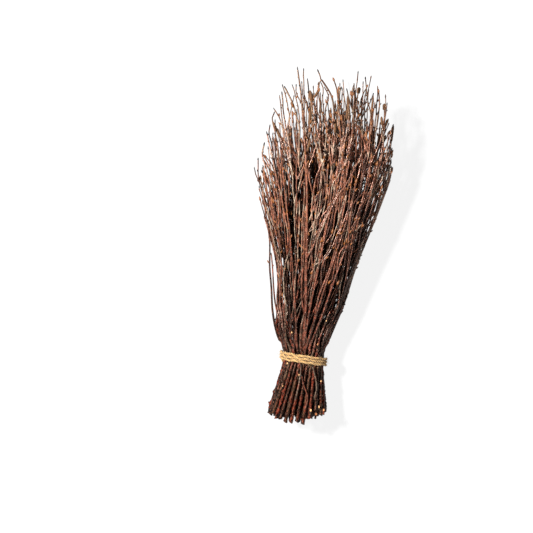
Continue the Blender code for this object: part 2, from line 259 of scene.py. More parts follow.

# Listed shoots: what ends each, that end's length and width, the shoot's thickness at
# its foot and near its end, its tone or None for a random one, and the places it runs through,
# in millimetres across and along the bundle as the camera sees them on the middle level
HAND_SHOOTS = (
    ("bud", 5, 2.2, 4.6, 1.9, 0.55, ((-25, -119), (-22, -65), (-22, -31), (-21, 8), (-21, 38), (-21, 68),
        (-22, 99), (-24, 129), (-26, 157), (-28, 183), (-32, 213))),
    ("bud", 4, 2.0, 2.0, 1.7, None, ((-14, 147), (-15, 163), (-16, 174), (-18, 181), (-19, 191),
        (-20, 200))),
    ("catkin", 19, 4.4, 2.0, 1.8, None, ((-19, 128), (-18, 146))),
    ("catkin", 15, 4.7, 1.7, 1.7, None, ((-17, 150), (-14, 163), (-15, 174))),
    ("catkin", 11, 3.6, 1.5, 1.5, None, ((-15, 168), (-14, 177), (-12, 180))),
    ("bud", 4, 1.6, 2.1, 1.7, None, ((-4, 143), (-5, 153), (-9, 164), (-13, 171), (-16, 178))),
    ("bud", 4, 1.4, 1.8, 1.5, None, ((-18, 153), (-19, 163), (-21, 172), (-24, 183))),
    ("bud", 4, 2.3, 1.8, 1.5, None, ((-25, 165), (-29, 176), (-31, 179), (-34, 186), (-34, 193))),
    ("bud", 4, 1.7, 1.8, 1.4, None, ((-30, 151), (-31, 162), (-32, 170), (-34, 178), (-36, 187),
        (-38, 193))),
    ("bud", 4, 2.1, 1.8, 1.5, None, ((-42, 155), (-44, 168), (-45, 175), (-47, 183), (-50, 193))),
    ("bud", 4, 2.5, 2.5, 2.2, None, ((-30, 141), (-32, 151), (-34, 159), (-37, 170), (-42, 181),
        (-47, 191))),
    ("catkin", 8, 3.9, 1.7, 1.7, None, ((-34, 158), (-37, 168))),
    ("bud", 4, 2.5, 2.0, 1.8, None, ((-48, 153), (-50, 168), (-50, 174), (-51, 184))),
    ("bud", 3, 1.4, 1.8, 1.5, None, ((-50, 148), (-52, 163), (-53, 174), (-54, 181))),
    ("bud", 4, 1.7, 2.1, 1.7, None, ((-48, 129), (-50, 141), (-52, 148), (-54, 155), (-60, 165))),
    ("catkin", 24, 3.9, 1.8, 1.8, None, ((-50, 118), (-53, 131))),
    ("bud", 4, 2.3, 2.0, 1.7, None, ((-56, 117), (-58, 130), (-60, 140), (-62, 148), (-63, 155),
        (-61, 160))),
    ("bud", 4, 2.3, 2.0, 1.7, None, ((-63, 119), (-65, 129), (-67, 136), (-66, 144))),
    ("bud", 5, 2.2, 2.9, 1.8, None, ((-44, 15), (-47, 32), (-50, 50), (-53, 66), (-57, 80), (-61, 99),
        (-65, 117), (-69, 135))),
    ("bud", 5, 2.6, 2.8, 2.0, None, ((-63, 50), (-65, 61), (-65, 68), (-67, 80), (-70, 93), (-75, 110),
        (-73, 122))),
    ("bud", 4, 2.9, 2.0, 1.7, None, ((-63, 71), (-65, 84), (-66, 90), (-68, 100), (-73, 109))),
    ("bud", 4, 2.6, 1.8, 1.7, None, ((-78, 76), (-80, 88), (-80, 95), (-80, 104))),
    ("bud", 5, 2.0, 3.6, 1.5, 0.25, ((-55, -112), (-60, -95), (-63, -74), (-64, -51), (-66, -27), (-66, -13),
        (-66, 5), (-68, 22), (-71, 41), (-74, 59), (-78, 75), (-83, 87), (-84, 92))),
    ("bud", 3, 1.6, 3.0, 1.8, 0.6, ((-52, -97), (-57, -80), (-60, -64), (-61.5, -46), (-62.5, -27),
        (-64, -10))),
    ("bud", 3, 1.6, 3.0, 2.2, 0.55, ((3, -108), (11, -93), (18, -80), (23, -70), (24, -62), (27, -50),
        (31, -36))),
    ("bud", 3, 1.6, 2.6, 1.8, 0.95, ((2, -112), (8, -94), (14, -80), (18, -66), (19, -50), (23, -34))),
    ("bud", 3, 1.6, 2.6, 2.0, 0.25, ((0, -104), (9, -88), (18, -75), (22, -60), (25, -42))),
    ("bud", 3, 1.6, 3.0, 2.2, 0.3, ((-49, -100), (-52, -80), (-54, -60), (-55, -39), (-57, -20), (-58, 0))),
    ("bud", 3, 1.6, 2.6, 1.8, 0.1, ((-36, -122), (-39, -104), (-41, -88), (-42, -70), (-43, -50))),
    ("bud", 3, 1.6, 2.4, 2.0, 0.9, ((-35, -186), (-31, -170), (-29, -156), (-28, -145))),
    ("bud", 3, 1.6, 2.2, 1.8, 0.95, ((-12, -184), (-9, -172), (-11, -158), (-14, -146))),
    ("bud", 3, 1.6, 2.4, 1.8, 0.55, ((-24, -200), (-20, -184), (-25, -168), (-27, -158))),
    ("bud", 4, 2.6, 2.1, 1.7, None, ((-1, 147), (-3, 163), (-6, 177), (-7, 187), (-6, 196), (-4, 201),
        (-5, 206), (-7, 211))),
    ("bud", 3, 1.6, 2.7, 2.4, None, ((12, 159), (11, 172), (9, 181), (5, 189), (-3, 201))),
    ("bud", 3, 1.6, 1.8, 1.5, None, ((1, 151), (-1, 168), (-2, 180), (-1, 189), (-3, 196))),
    ("bud", 3, 1.6, 1.8, 1.5, None, ((2, 155), (2, 169), (5, 176), (5, 183), (1, 191))),
    ("bud", 5, 3.6, 2.2, 1.8, None, ((23, 147), (21, 162), (19, 171), (17, 176), (16, 183), (15, 191),
        (12, 200))),
    ("bud", 4, 2.6, 1.8, 1.7, None, ((17, 170), (17, 181), (20, 190))),
    ("bud", 3, 1.6, 1.8, 1.5, None, ((31, 158), (31, 165), (29, 171), (28, 176))),
    ("catkin", 18, 3.6, 2.0, 2.0, None, ((23, 140), (25, 153))),
    ("bud", 4, 1.8, 2.7, 2.2, None, ((36, 151), (34, 165), (34, 178), (34, 187), (35, 192))),
    ("catkin", 30, 4.2, 2.5, 2.4, None, ((32, 137), (31, 152))),
    ("catkin", 8, 5.5, 2.0, 1.8, None, ((40, 163), (39, 174), (41, 185))),
    ("bud", 4, 2.6, 2.1, 1.5, None, ((57, 153), (55, 166), (53, 174), (52, 181), (51, 192), (50, 202))),
    ("bud", 3, 1.6, 1.7, 1.5, None, ((45, 158), (45, 171), (45, 178), (48, 186), (51, 191))),
    ("catkin", 22, 3.1, 2.0, 2.0, None, ((56, 146), (57, 160))),
    ("bud", 4, 1.8, 1.8, 1.5, None, ((59, 139), (59, 152), (58, 159), (59, 165), (62, 170))),
    ("bud", 5, 3.6, 2.2, 1.8, None, ((60, 126), (63, 141), (65, 153), (66, 163), (67, 172), (66, 186))),
    ("catkin", 8, 5.2, 2.1, 2.0, None, ((70, 129), (71, 145), (73, 155), (73, 165))),
    ("catkin", 19, 3.9, 2.0, 2.0, None, ((68, 126), (71, 139))),
    ("catkin", 23, 3.9, 2.0, 2.0, None, ((79, 112), (81, 126))),
    ("catkin", 14, 4.2, 2.0, 2.0, None, ((63, 110), (65, 123))),
    ("bud", 3, 1.6, 2.8, 1.9, 0.4, ((-45, -126), (-49, -104), (-54, -85), (-57, -66), (-56, -47), (-56, -26),
        (-59, -5), (-63, 17), (-68, 39), (-72, 58))),
    ("bud", 3, 1.6, 2.8, 1.8, 0.95, ((-47, -92), (-46, -72), (-48, -62), (-49, -39), (-47, -22), (-44, -12),
        (-40, -3))),
    ("bud", 3, 1.6, 2.7, 1.7, 0.85, ((-40, -91), (-37, -74), (-36, -62), (-35, -39), (-32, -16), (-32, -2),
        (-30, 25), (-30, 56))),
    ("bud", 3, 1.6, 2.9, 1.7, 0.6, ((-17, -104), (-12, -89), (-7, -62), (5, -32), (10, -16), (16, 7),
        (22, 35), (27, 62))),
    ("bud", 3, 1.6, 2.3, 1.7, 0.75, ((-55, 27), (-55, 50), (-58, 70))),
    ("bud", 3, 1.6, 2.3, 1.7, 0.8, ((-27, 15), (-26, 34), (-24, 59), (-24, 73))),
    ("bud", 3, 1.6, 2.2, 1.6, 0.75, ((-15, 45), (-11, 78), (-6, 93), (2, 111))),
    ("bud", 3, 1.6, 2.2, 1.5, 0.35, ((-5, 30), (3, 43), (17, 65), (24, 93), (32, 116))),
    ("bud", 3, 1.6, 2.5, 1.7, 0.3, ((-15, 2), (-7, 19), (4, 40))),
    ("bud", 3, 1.6, 2.6, 1.7, 0.3, ((13, -4), (22, 25), (29, 45), (31, 65), (36, 97))),
    ("bud", 3, 1.6, 2.6, 1.7, 0.4, ((29, 2), (32, 37), (36, 65), (43, 91))),
    ("bud", 3, 1.6, 2.5, 1.6, 0.3, ((36, 22), (46, 47), (54, 65))),
    ("bud", 4, 1.8, 2.8, 2.0, None, ((-23, -87), (-27, -65), (-27, -41), (-25, -19), (-24, 2), (-22, 30))),
    ("bud", 4, 1.8, 3.3, 1.5, 0.6, ((-25, -123), (-18, -79), (-8, -31), (2, 18), (11, 59), (17, 99),
        (22, 131))),
    ("bud", 4, 1.8, 3.3, 1.5, 0.45, ((-22, -123), (-10, -84), (7, -31), (23, 18), (35, 61), (45, 102))),
    ("bud", 4, 1.8, 3.1, 1.4, 0.55, ((-18, -123), (-2, -82), (17, -28), (34, 20), (47, 60), (58, 95))),
    ("bud", 4, 1.8, 3.1, 1.5, 0.5, ((-33, -123), (-35, -79), (-38, -34), (-41, 8), (-46, 50), (-53, 117))),
    ("bud", 4, 1.8, 2.5, 1.5, 0.42, ((-22, -19), (-15, -4), (-4, 22), (6, 40), (16, 60), (26, 74), (35, 90),
        (43, 107))),
    ("bud", 4, 1.8, 2.1, 1.5, 0.9, ((-9, 4), (-2, 22), (6, 45), (10, 74), (16, 83), (21, 92), (26, 102),
        (31, 114))),
    ("bud", 4, 1.8, 2.5, 1.7, 0.3, ((-3, -26), (8, -5), (16, 14), (22, 27), (29, 40), (38, 55), (49, 66))),
    ("bud", 4, 1.8, 2.2, 1.6, 0.6, ((17, -14), (26, 2), (36, 22), (45, 45), (53, 60), (59, 78))),
)

# Pruned stubs whose cut face is seen from above: millimetres across, along and thick, and how
# pale the face is
CUT_STUBS = (
    (-17, -199, 3.1, 1.0), (-6.5, -195, 2.9, 0.9), (-1, -198, 2.8, 0.45), (-11, -203, 2.8, 0.1),
    (-46, -142, 2.6, 1.0), (-23, -141, 2.0, 0.2), (-19, -142, 2.4, 0.9), (-32, -156, 1.9, 1.0),
    (-52, -169, 1.5, 0.9), (-4, -164, 2.1, 0.8), (-9, -119, 2.2, 0.3), (1, -90, 1.7, 1.0),
    (10, -93, 1.4, 0.4), (-39, -104, 2.0, 1.0),
)

# Patches of older, darker and knottier wood: millimetres across, along, and their reach
OLD_WOOD = ((-41, -4, 11, 9), (18, -72, 15, 42), (28, -42, 12, 16), (-58, -100, 10, 16), (-60, -185, 14, 34))


def linear(code):
    """Linear colour from an sRGB hex value."""
    shares = [int(code[place : place + 2], 16) / 255 for place in (1, 3, 5)]
    curve = [s / 12.92 if s <= 0.04045 else ((s + 0.055) / 1.055) ** 2.4 for s in shares]
    return (*curve, 1.0)


def colour(name, description, code):
    return FloatVectorProperty(
        name=name, description=description, default=linear(code), size=4, subtype="COLOR", min=0, max=1
    )


def length(name, description, default):
    return FloatProperty(
        name=name, description=description, default=default, min=0.0, unit="LENGTH", subtype="DISTANCE"
    )


def amount(name, description, default, **more):
    return FloatProperty(name=name, description=description, default=default, min=0.0, **more)


def fraction(name, description, default):
    return amount(name, description, default, max=1.0, subtype="FACTOR")


def count(name, description, default, least):
    return IntProperty(name=name, description=description, default=default, min=least)


class TwigSettings(bpy.types.PropertyGroup):
    stem_sides: count("Stem sides", "Faces round a stem", 8, 5)
    shoot_sides: count("Shoot sides", "Faces round a shoot", 5, 4)
    node_spacing: length("Node spacing", "Mean distance between leaf nodes", 0.0140)
    zigzag: length("Zigzag", "How far a stem steps aside at each node", 0.0009)
    swelling: fraction("Swelling", "How much a stem thickens at a node", 0.28)
    lumps: fraction("Lumps", "How uneven the old wood is", 0.10)
    shoot_chance: fraction("Shoot chance", "Share of the nodes that bear a shoot", 0.44)
    shoot_radius: length("Shoot radius", "Radius of a shoot at its foot", 0.00115)
    fork_share: fraction("Fork share", "Share of the low nodes where a stem forks", 0.48)
    fork_chance: fraction("Fork chance", "Share of a shoot's joints that fork", 0.06)
    shoot_angle: amount("Shoot angle", "How far a shoot leaves its stem's line",
                        math.radians(21.0), subtype="ANGLE")
    crown_top: length("Crown top", "Highest place of the crown, along the bundle", 0.206)
    crown_depth: length("Crown depth", "How far below its top the crown turns solid", 0.096)
    bud_length: length("Bud length", "Length of a large side bud", 0.0050)
    bud_width: length("Bud width", "Widest thickness of a large side bud", 0.0024)
    catkin_width: length("Catkin width", "Thickness of a catkin", 0.0032)
    inner_count: count("Inner twigs", "Twigs at the heart of the bundle", 60, 1)
    inner_radius: length("Inner radius", "Butt radius of an inner twig", 0.0013)


class BarkSettings(bpy.types.PropertyGroup):
    old_dark: colour("Old dark bark", "Bark at the cut ends, darkest twigs", "#1a0c09")
    old_red: colour("Old red bark", "Bark at the cut ends, red twigs", "#661f10")
    old_grey: colour("Old grey bark", "Bark at the cut ends, grey twigs", "#3f2c1d")
    young_dark: colour("Young dark bark", "Bark near the tips, darkest twigs", "#472420")
    young_red: colour("Young red bark", "Bark near the tips, red twigs", "#a3654d")
    young_grey: colour("Young grey bark", "Bark near the tips, grey twigs", "#c0a890")
    tip: colour("Tip bark", "Bark of the last growth, at the tips", "#362214")
    wart: colour("Resin wart", "Pale dots on the bark", "#d2ac96")
    bud: colour("Bud scale", "Outer scales of the buds", "#7c4820")
    catkin: colour("Catkin scale", "Scales of the catkins", "#5e3a18")
    cut_wood: colour("Cut wood", "Freshly cut end grain", "#e2b47c")


class TwineSettings(bpy.types.PropertyGroup):
    diameter: length("Diameter", "Thickness of the twine", 0.0031)
    wander: length("Wander", "How far a turn strays from its line", 0.00035)
    twist: length("Twist", "Length of one turn of the three plies", 0.0105)
    strands: count("Strands", "Yarn strands in each ply", 6, 3)
    fibres: count("Fibres", "Stray fibres that stand out", 520, 0)
    pale: colour("Pale jute", "Sunlit jute fibre", "#d4a764")
    deep: colour("Deep jute", "Shaded jute fibre", "#3a200c")


class StageSettings(bpy.types.PropertyGroup):
    floor: colour("Floor", "Colour of the frosted face", "#545454")
    glow: amount("Floor glow", "How bright the lit table looks", 0.86)
    underlight: amount("Underlight", "Light that the table throws on the twigs", 0.30)
    lens: amount("Lens", "Focal length in millimetres", 100.0)
    key_power: amount("Key light", "Power of the soft light on the left", 113.0, unit="POWER")
    fill_power: amount("Fill light", "Power of the weak light in front of the cut ends", 11.0, unit="POWER")
    sky: amount("Sky", "Light from the white surroundings", 0.08)


def fill(tree, node, inputs):
    """Fills a node's inputs, in order, by number or by name, with values or nodes' outputs."""
    for key, value in inputs.items() if isinstance(inputs, dict) else enumerate(inputs):
        if isinstance(value, bpy.types.NodeSocket):
            tree.links.new(value, node.inputs[key])
        else:
            node.inputs[key].default_value = value


def add_node(tree, kind, inputs=(), output=0, **settings):
    """Adds a node, sets its options, fills its inputs, and gives one of its outputs if it has any."""
    node = tree.nodes.new(kind)
    for key, value in settings.items():
        setattr(node, key, value)
    fill(tree, node, inputs)
    return node.outputs[output] if node.outputs else None


def set_stops(ramp, stops):
    """Gives the colour ramp of this output these stops, each a position and a colour."""
    elements = ramp.node.color_ramp.elements
    while len(elements) < len(stops):
        elements.new(1.0)
    for element, (position, hue) in zip(elements, stops):
        element.position = position
        element.color = hue


def grain(tree, place, size, detail, along=1.0):
    """Cloudy pattern with specks this many millimetres across, drawn out along the wood where
    its scale along the wood is less than 1."""
    drawn = add_node(tree, "ShaderNodeMapping", {"Vector": place, "Scale": (1.0, along, 1.0)})
    scale = 1 / (size * MM)
    return add_node(tree, "ShaderNodeTexNoise", {"Vector": drawn, "Scale": scale, "Detail": detail})


def blended(tree, first, second, pattern, span=(0.0, 1.0), shares=(0.0, 1.0)):
    """Colour with these shares of the second in the first at the two ends of a pattern's span."""
    share = add_node(tree, "ShaderNodeMapRange", (pattern, *span, *shares))
    return add_node(tree, "ShaderNodeMix", {0: share, 6: first, 7: second}, 2, data_type="RGBA")


def new_material(name, *marks):
    """Empty material, its nodes, the place in the object's own space, and these attributes."""
    material = bpy.data.materials.new(name)
    material.use_nodes = True
    tree = material.node_tree
    marked = [add_node(tree, "ShaderNodeAttribute", output="Fac", attribute_name=mark) for mark in marks]
    return material, tree, add_node(tree, "ShaderNodeTexCoord", output="Object"), *marked


def finished(material, skin, height, strength, depth, sockets):
    """Material with this skin, relief of this depth in millimetres, and other shader inputs."""
    tree = material.node_tree
    bump = add_node(tree, "ShaderNodeBump", {"Height": height, "Strength": strength, "Distance": depth * MM})
    fill(tree, tree.nodes["Principled BSDF"], {"Base Color": skin, "Normal": bump, **sockets})
    return material


def birch_bark(look):
    """Dry birch bark as grown: satin skin, dark and red near the butt and taupe in the young
    wood, mottled, in long streaks, with pale resin warts and low ridges that break the gloss."""
    # The age attribute carries the bark's age and also the painted shade at the heart of the bundle, which
    # takes it under 0
    material, tree, place, age, tone = new_material("dry_birch_bark", "age", "tone")
    # Patches about 16 mm long where the skin is redder, paler or darker than the twig's own tone
    drift = add_node(tree, "ShaderNodeMapRange", (grain(tree, place, 8.0, 2.0, 0.5), 0.3, 0.7, -0.24, 0.24))
    tone = add_node(tree, "ShaderNodeMath", (tone, drift))
    old = add_node(tree, "ShaderNodeValToRGB", (tone,))
    set_stops(old, ((0.0, look.old_dark), (0.36, look.old_dark), (0.50, look.old_red),
                    (0.74, look.old_red), (0.90, look.old_grey)))
    young = add_node(tree, "ShaderNodeValToRGB", (tone,))
    set_stops(young, ((0.0, look.young_dark), (0.20, look.young_dark), (0.38, look.young_red),
                      (0.70, look.young_red), (0.92, look.young_grey)))
    skin = blended(tree, old, young, age)
    skin = blended(tree, skin, look.tip, age, (1.0, 1.8), (0.0, 0.78))
    # Patches about 11 mm long where the outer skin has dried darker, most of all on old bark
    patch = grain(tree, place, 11.0, 2.0)
    worst = add_node(tree, "ShaderNodeMapRange", (age, 0.0, 1.0, 0.30, 0.60))
    skin = blended(tree, BLACK, skin, patch, (0.38, 0.60), (worst, 1.0))
    # Mottling 1.7 mm across and twice as long, as the skin peels and cracks
    mottle = grain(tree, place, 1.7, 3.0, 0.5)
    least = add_node(tree, "ShaderNodeMapRange", (age, 0.15, 0.70, 0.05, 0.48))
    skin = blended(tree, BLACK, skin, mottle, (0.43, 0.57), (least, 1.0))
    # Streaks along the wood, 0.5 mm wide, drawn coarser than real bark fibre so that they show
    most = add_node(tree, "ShaderNodeMapRange", (age, 0.0, 0.8, 0.22, 0.45))
    skin = blended(tree, skin, look.wart, grain(tree, place, 0.5, 2.0, 0.22), (0.55, 0.8), (0.0, most))
    # Resin warts 0.3 mm across and about 1.5 mm apart
    warts = add_node(tree, "ShaderNodeTexVoronoi", {"Vector": place, "Scale": 1 / (1.5 * MM)})
    wart = add_node(tree, "ShaderNodeMapRange", (warts, 0.10, 0.22, 1.0, 0.0))
    skin = blended(tree, skin, look.wart, wart, shares=(0.0, 0.55))
    # Painted shade: black bark at the heart of the bundle, where the age is under 0
    skin = blended(tree, linear("#0c0605"), skin, age, (-0.6, 0.0))
    # Old bark is dull; young bark is waxed and throws a narrow, warm highlight
    dull = add_node(tree, "ShaderNodeMapRange", (patch, 0.3, 0.7, 0.22, 0.32))
    worn = add_node(tree, "ShaderNodeMapRange", (age, 0.1, 0.6, 0.08, 0.0))
    gleam = blended(tree, linear("#925c46"), linear("#f0d2c2"), age, (0.05, 0.5))
    gleam = blended(tree, gleam, linear("#c49a78"), age, (1.0, 1.6))
    relief = add_node(tree, "ShaderNodeMath", (wart, mottle))
    return finished(material, skin, relief, 0.8, 0.35, {
        "Roughness": add_node(tree, "ShaderNodeMath", (dull, worn)),
        "Specular Tint": gleam,
        "Specular IOR Level": 0.8,
    })


def bud_scale(look):
    """Dry bud scales as grown: waxy orange brown, darker at the tip, in overlapping rows."""
    material, tree, place, rise, tone = new_material("dry_bud_scale", "rise", "tone")
    skin = blended(tree, linear("#1c120c"), look.bud, tone, (0.15, 0.6))
    skin = blended(tree, skin, linear("#4a2c18"), rise, (0.55, 1.0), (0.0, 0.6))
    # Paler specks about 0.9 mm across, most of all on large buds
    mottle = grain(tree, place, 0.9, 2.0)
    most = add_node(tree, "ShaderNodeMapRange", (tone, 0.2, 0.7, 0.0, 0.5))
    skin = blended(tree, skin, linear("#b06c2c"), mottle, (0.45, 0.75), (0.0, most))
    return finished(material, skin, mottle, 0.4, 0.1, {"Roughness": 0.48})


def catkin_scale(look):
    """Dry catkin as grown: rows of papery scales, tan on their edges and dark between them."""
    material, tree, place, rise = new_material("dry_catkin_scale", "rise")
    skin = blended(tree, linear("#3a2213"), look.catkin, rise)
    mottle = grain(tree, place, 1.2, 3.0)
    skin = blended(tree, skin, linear("#80562a"), mottle, (0.4, 0.7), (0.0, 0.6))
    return finished(material, skin, mottle, 0.6, 0.2, {"Roughness": 0.72})


def cut_birch_wood(look):
    """Birch end grain cut with shears: pale and matt, browner at its rim, with fine fibre."""
    material, tree, place, rim, tone = new_material("cut_birch_wood", "cut", "tone")
    skin = blended(tree, linear("#98501e"), look.cut_wood, tone)
    skin = blended(tree, skin, linear("#8a4618"), rim, (0.3, 1.0))
    fibre = grain(tree, place, 0.4, 2.0)
    skin = blended(tree, skin, linear("#c98f52"), fibre, (0.5, 0.8), (0.0, 0.5))
    return finished(material, skin, fibre, 0.4, 0.1, {"Roughness": 0.8})


def weathered_birch_wood():
    """Old birch end grain: brown with handling and dust, almost as dark as the bark round it."""
    material, tree, place, rim = new_material("weathered_birch_wood", "cut")
    skin = blended(tree, linear("#20140e"), linear("#4b3020"), rim, (0.0, 0.6))
    fibre = grain(tree, place, 0.6, 2.0)
    skin = blended(tree, skin, linear("#6e4a32"), fibre, (0.45, 0.75), (0.0, 0.6))
    return finished(material, skin, fibre, 0.5, 0.15, {"Roughness": 0.85})


def spun_jute(look):
    """Jute twine as spun: matt golden fibre with a soft sheen, paler and darker strands side
    by side, and fine grooves along them."""
    material, tree, place, tone = new_material("spun_jute", "tone")
    skin = blended(tree, look.deep, look.pale, tone)
    # Browner stretches about 5 mm long, and pale fibre about 0.35 mm wide
    skin = blended(tree, skin, linear("#b47f3c"), grain(tree, place, 5.0, 2.0), (0.4, 0.7), (0.0, 0.35))
    fibre = grain(tree, place, 0.35, 3.0)
    skin = blended(tree, skin, linear("#fbe6ba"), fibre, (0.5, 0.75), (0.0, 0.45))
    return finished(material, skin, fibre, 0.5, 0.1, {"Roughness": 0.9, "Sheen Weight": 0.25})


def lit_acrylic(look):
    """White acrylic table lit from below. Its frosted face is grey, so that shadows on it stay
    faint, and its own light makes it look an even white."""
    material, tree, place = new_material("lit_white_acrylic")
    skin = blended(tree, look.floor, linear("#585858"), grain(tree, place, FLOOR_CLOUDS, 2.0), (0.3, 0.7))
    seen = add_node(tree, "ShaderNodeLightPath", output="Is Camera Ray")
    glow = add_node(tree, "ShaderNodeMapRange", (seen, 0.0, 1.0, look.underlight, look.glow))
    fill(tree, tree.nodes["Principled BSDF"],
         {"Base Color": skin, "Roughness": 0.9, "Emission Strength": glow, "Emission Color": WHITE})
    return material


def white_room(look):
    """World that looks white behind the table and gives only a little light."""
    world = bpy.data.worlds.new("white_room")
    world.use_nodes = True
    tree = world.node_tree
    seen = add_node(tree, "ShaderNodeLightPath", output="Is Camera Ray")
    strength = add_node(tree, "ShaderNodeMapRange", (seen, 0.0, 1.0, look.sky, 1.0))
    fill(tree, tree.nodes["Background"], {"Color": WHITE, "Strength": strength})
    return world


def flat_patch(face):
    """Vertices of the flat patch of triangles that this face belongs to, in the mesh's order."""
    patch = {face}
    waiting = [face]
    while waiting:
        for edge in waiting.pop().edges:
            for other in edge.link_faces:
                if other not in patch and other.normal.dot(face.normal) > 0.999999:
                    patch.add(other)
                    waiting.append(other)
    vertices = {vertex for flat in patch for vertex in flat.verts}
    return sorted(vertices, key=lambda vertex: vertex.index)


def rings_from(start):
    """Rings of vertices one after another, from a tube's end."""
    seen = set(start)
    rings = [list(start)]
    while rings[-1]:
        after = []
        for vertex in rings[-1]:
            for edge in vertex.link_edges:
                other = edge.other_vert(vertex)
                if other not in seen:
                    seen.add(other)
                    after.append(other)
        rings.append(after)
    return rings[:-1]


def read_tube(node, sides):
    """Places along a CAD tube's middle line, from its end at the lower y."""
    shape = bmesh.new()
    shape.from_mesh(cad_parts[node].data)
    bmesh.ops.remove_doubles(shape, verts=shape.verts, dist=0.001 * MM)
    shape.verts.index_update()
    shape.normal_update()
    for face in shape.faces:
        start = flat_patch(face)
        if len(start) != sides:
            continue
        rings = rings_from(start)
        if all(len(ring) == sides for ring in rings):
            break
    else:
        raise ValueError(f"{node} is no tube of {sides} sides")
    places = []
    for ring in rings:
        centre = sum((vertex.co for vertex in ring), Vector((0, 0, 0))) / sides
        places.append(Vector((*centre, max((vertex.co - centre).length for vertex in ring))))
    shape.free()
    return places if places[0].y < places[-1].y else places[::-1]


def smooth_places(knots, spacing):
    """Places at even spacing along a smooth curve through these ones."""
    padded = [2 * knots[0] - knots[1], *knots, 2 * knots[-1] - knots[-2]]
    fine = []
    for a, b, c, d in zip(padded, padded[1:], padded[2:], padded[3:]):
        for step in range(12):
            t = step / 12
            bend = (2 * a - 5 * b + 4 * c - d) * t * t + (3 * b - a - 3 * c + d) * t * t * t
            fine.append(0.5 * (2 * b + (c - a) * t + bend))
    fine.append(knots[-1])
    total = sum((second - first).xyz.length for first, second in zip(fine, fine[1:]))
    spacing = total / max(1, round(total / spacing))
    even = [fine[0]]
    walked = 0.0
    for first, second in zip(fine, fine[1:]):
        step = (second - first).xyz.length
        while walked + step >= spacing:
            first = first.lerp(second, (spacing - walked) / step)
            even.append(first)
            step = (second - first).xyz.length
            walked = 0.0
        walked += step
    if (even[-1] - fine[-1]).xyz.length < 0.5 * spacing:
        even[-1] = fine[-1]
    else:
        even.append(fine[-1])
    return even


def at_y(places, y):
    """Place on a middle line where it passes this y, held to its ends."""
    for low, high in zip(places, places[1:]):
        if low.y <= y <= high.y:
            return low.lerp(high, (y - low.y) / (high.y - low.y))
    return places[0] if y < places[0].y else places[-1]


def part_way(value, start, end):
    """How far a value is on its way from a start to an end, held between 0 and 1."""
    return min(1.0, max(0.0, (value - start) / (end - start)))


def spread(low, high, steps):
    """Evenly spaced numbers from one to another."""
    return [low + (high - low) * number / max(1, steps - 1) for number in range(steps)]


def slimming(y):
    """Share of its CAD thickness that a stem keeps at this y."""
    for (low, thick), (high, thin) in zip(SLIMMING, SLIMMING[1:]):
        if y < high:
            return thick + (thin - thick) * part_way(y, low, high)
    return SLIMMING[-1][1]


def age_at(y):
    """How young the bark is at this y: 0 at the cut ends, 1 in the crown and 2 at its tips."""
    return part_way(y, *YOUNG_SPAN) + part_way(y, *TIPS_SPAN)


def sideways(heading, turn):
    """Direction square to a heading, at this turn round it."""
    across = heading.cross(UP).normalized()
    return math.cos(turn) * across + math.sin(turn) * across.cross(heading).normalized()


def leaning_out(heading, out):
    """Direction in which a bud points that sits beside a stem or a shoot."""
    return (0.85 * heading + 0.5 * out).normalized()


def heading_past(places, number):
    """Direction of a middle line at one of its places."""
    return (places[number + 1] - places[number - 1]).xyz.normalized()


class Fan:
    """Outline of the bundle along its length, read from the outer stems' middle lines."""

    FIRST, LAST, STEP = -0.200, 0.070, 0.015

    def __init__(self, stems):
        self.rows = []
        for number in range(round((self.LAST - self.FIRST) / self.STEP) + 1):
            y = self.FIRST + number * self.STEP
            here = [at_y(stem, y) for stem in stems if stem[0].y <= y <= stem[-1].y]
            left = min(here, key=lambda place: place.x)
            right = max(here, key=lambda place: place.x)
            low = min(place.z for place in here)
            high = max(place.z for place in here)
            edge = 0.3 * (high - low)
            middle = min(max(0.5 * (left.z + right.z), low + edge), high - edge)
            self.rows.append(Vector((0.5 * (left.x + right.x), 0.5 * (right.x - left.x), low, middle, high)))
        for _ in range(2):
            inner = [
                0.25 * low + 0.5 * here + 0.25 * high
                for low, here, high in zip(self.rows, self.rows[1:], self.rows[2:])
            ]
            self.rows = [self.rows[0], *inner, self.rows[-1]]

    def row(self, y):
        """Middle and half of the width, lowest, middle and highest level at this y."""
        place = (y - self.FIRST) / self.STEP
        low = min(max(int(place), 0), len(self.rows) - 2)
        share = max(place - low, 0.0)
        if share > 1.0:
            share = 1.0 + FAN_GROWTH * (1.0 - math.exp((1.0 - share) / FAN_GROWTH))
        return self.rows[low] + share * (self.rows[low + 1] - self.rows[low])

    def place(self, across, above, y):
        """Point at these shares of the half width and of the height from the middle, at y."""
        centre, half, low, middle, high = self.row(y)
        height = high - middle if above > 0 else middle - low
        return Vector((centre + across * half, y, middle + above * height))

    def shares(self, point):
        """Where a point lies across and above the middle, as shares that the outline has at 1."""
        centre, half, low, middle, high = self.row(point.y)
        height = high - middle if point.z > middle else middle - low
        return (point.x - centre) / half, (point.z - middle) / height

    def heading(self, point):
        """Direction in which the fan spreads at a point."""
        return (self.place(*self.shares(point), point.y + 12 * MM) - point).normalized()

    def inside(self, point, most):
        """The point, pulled in to this share of the outline where it lies past it."""
        across, above = self.shares(point)
        reach = math.hypot(across, above)
        if reach > most:
            point = self.place(across * most / reach, above * most / reach, point.y)
        return point

    def top(self, x, y):
        """Height of the fan's upper side over this point."""
        centre, half, _, middle, high = self.row(y)
        across = min(abs(x - centre) / half, 0.98)
        return middle + (high - middle) * math.sqrt(1.0 - across * across)


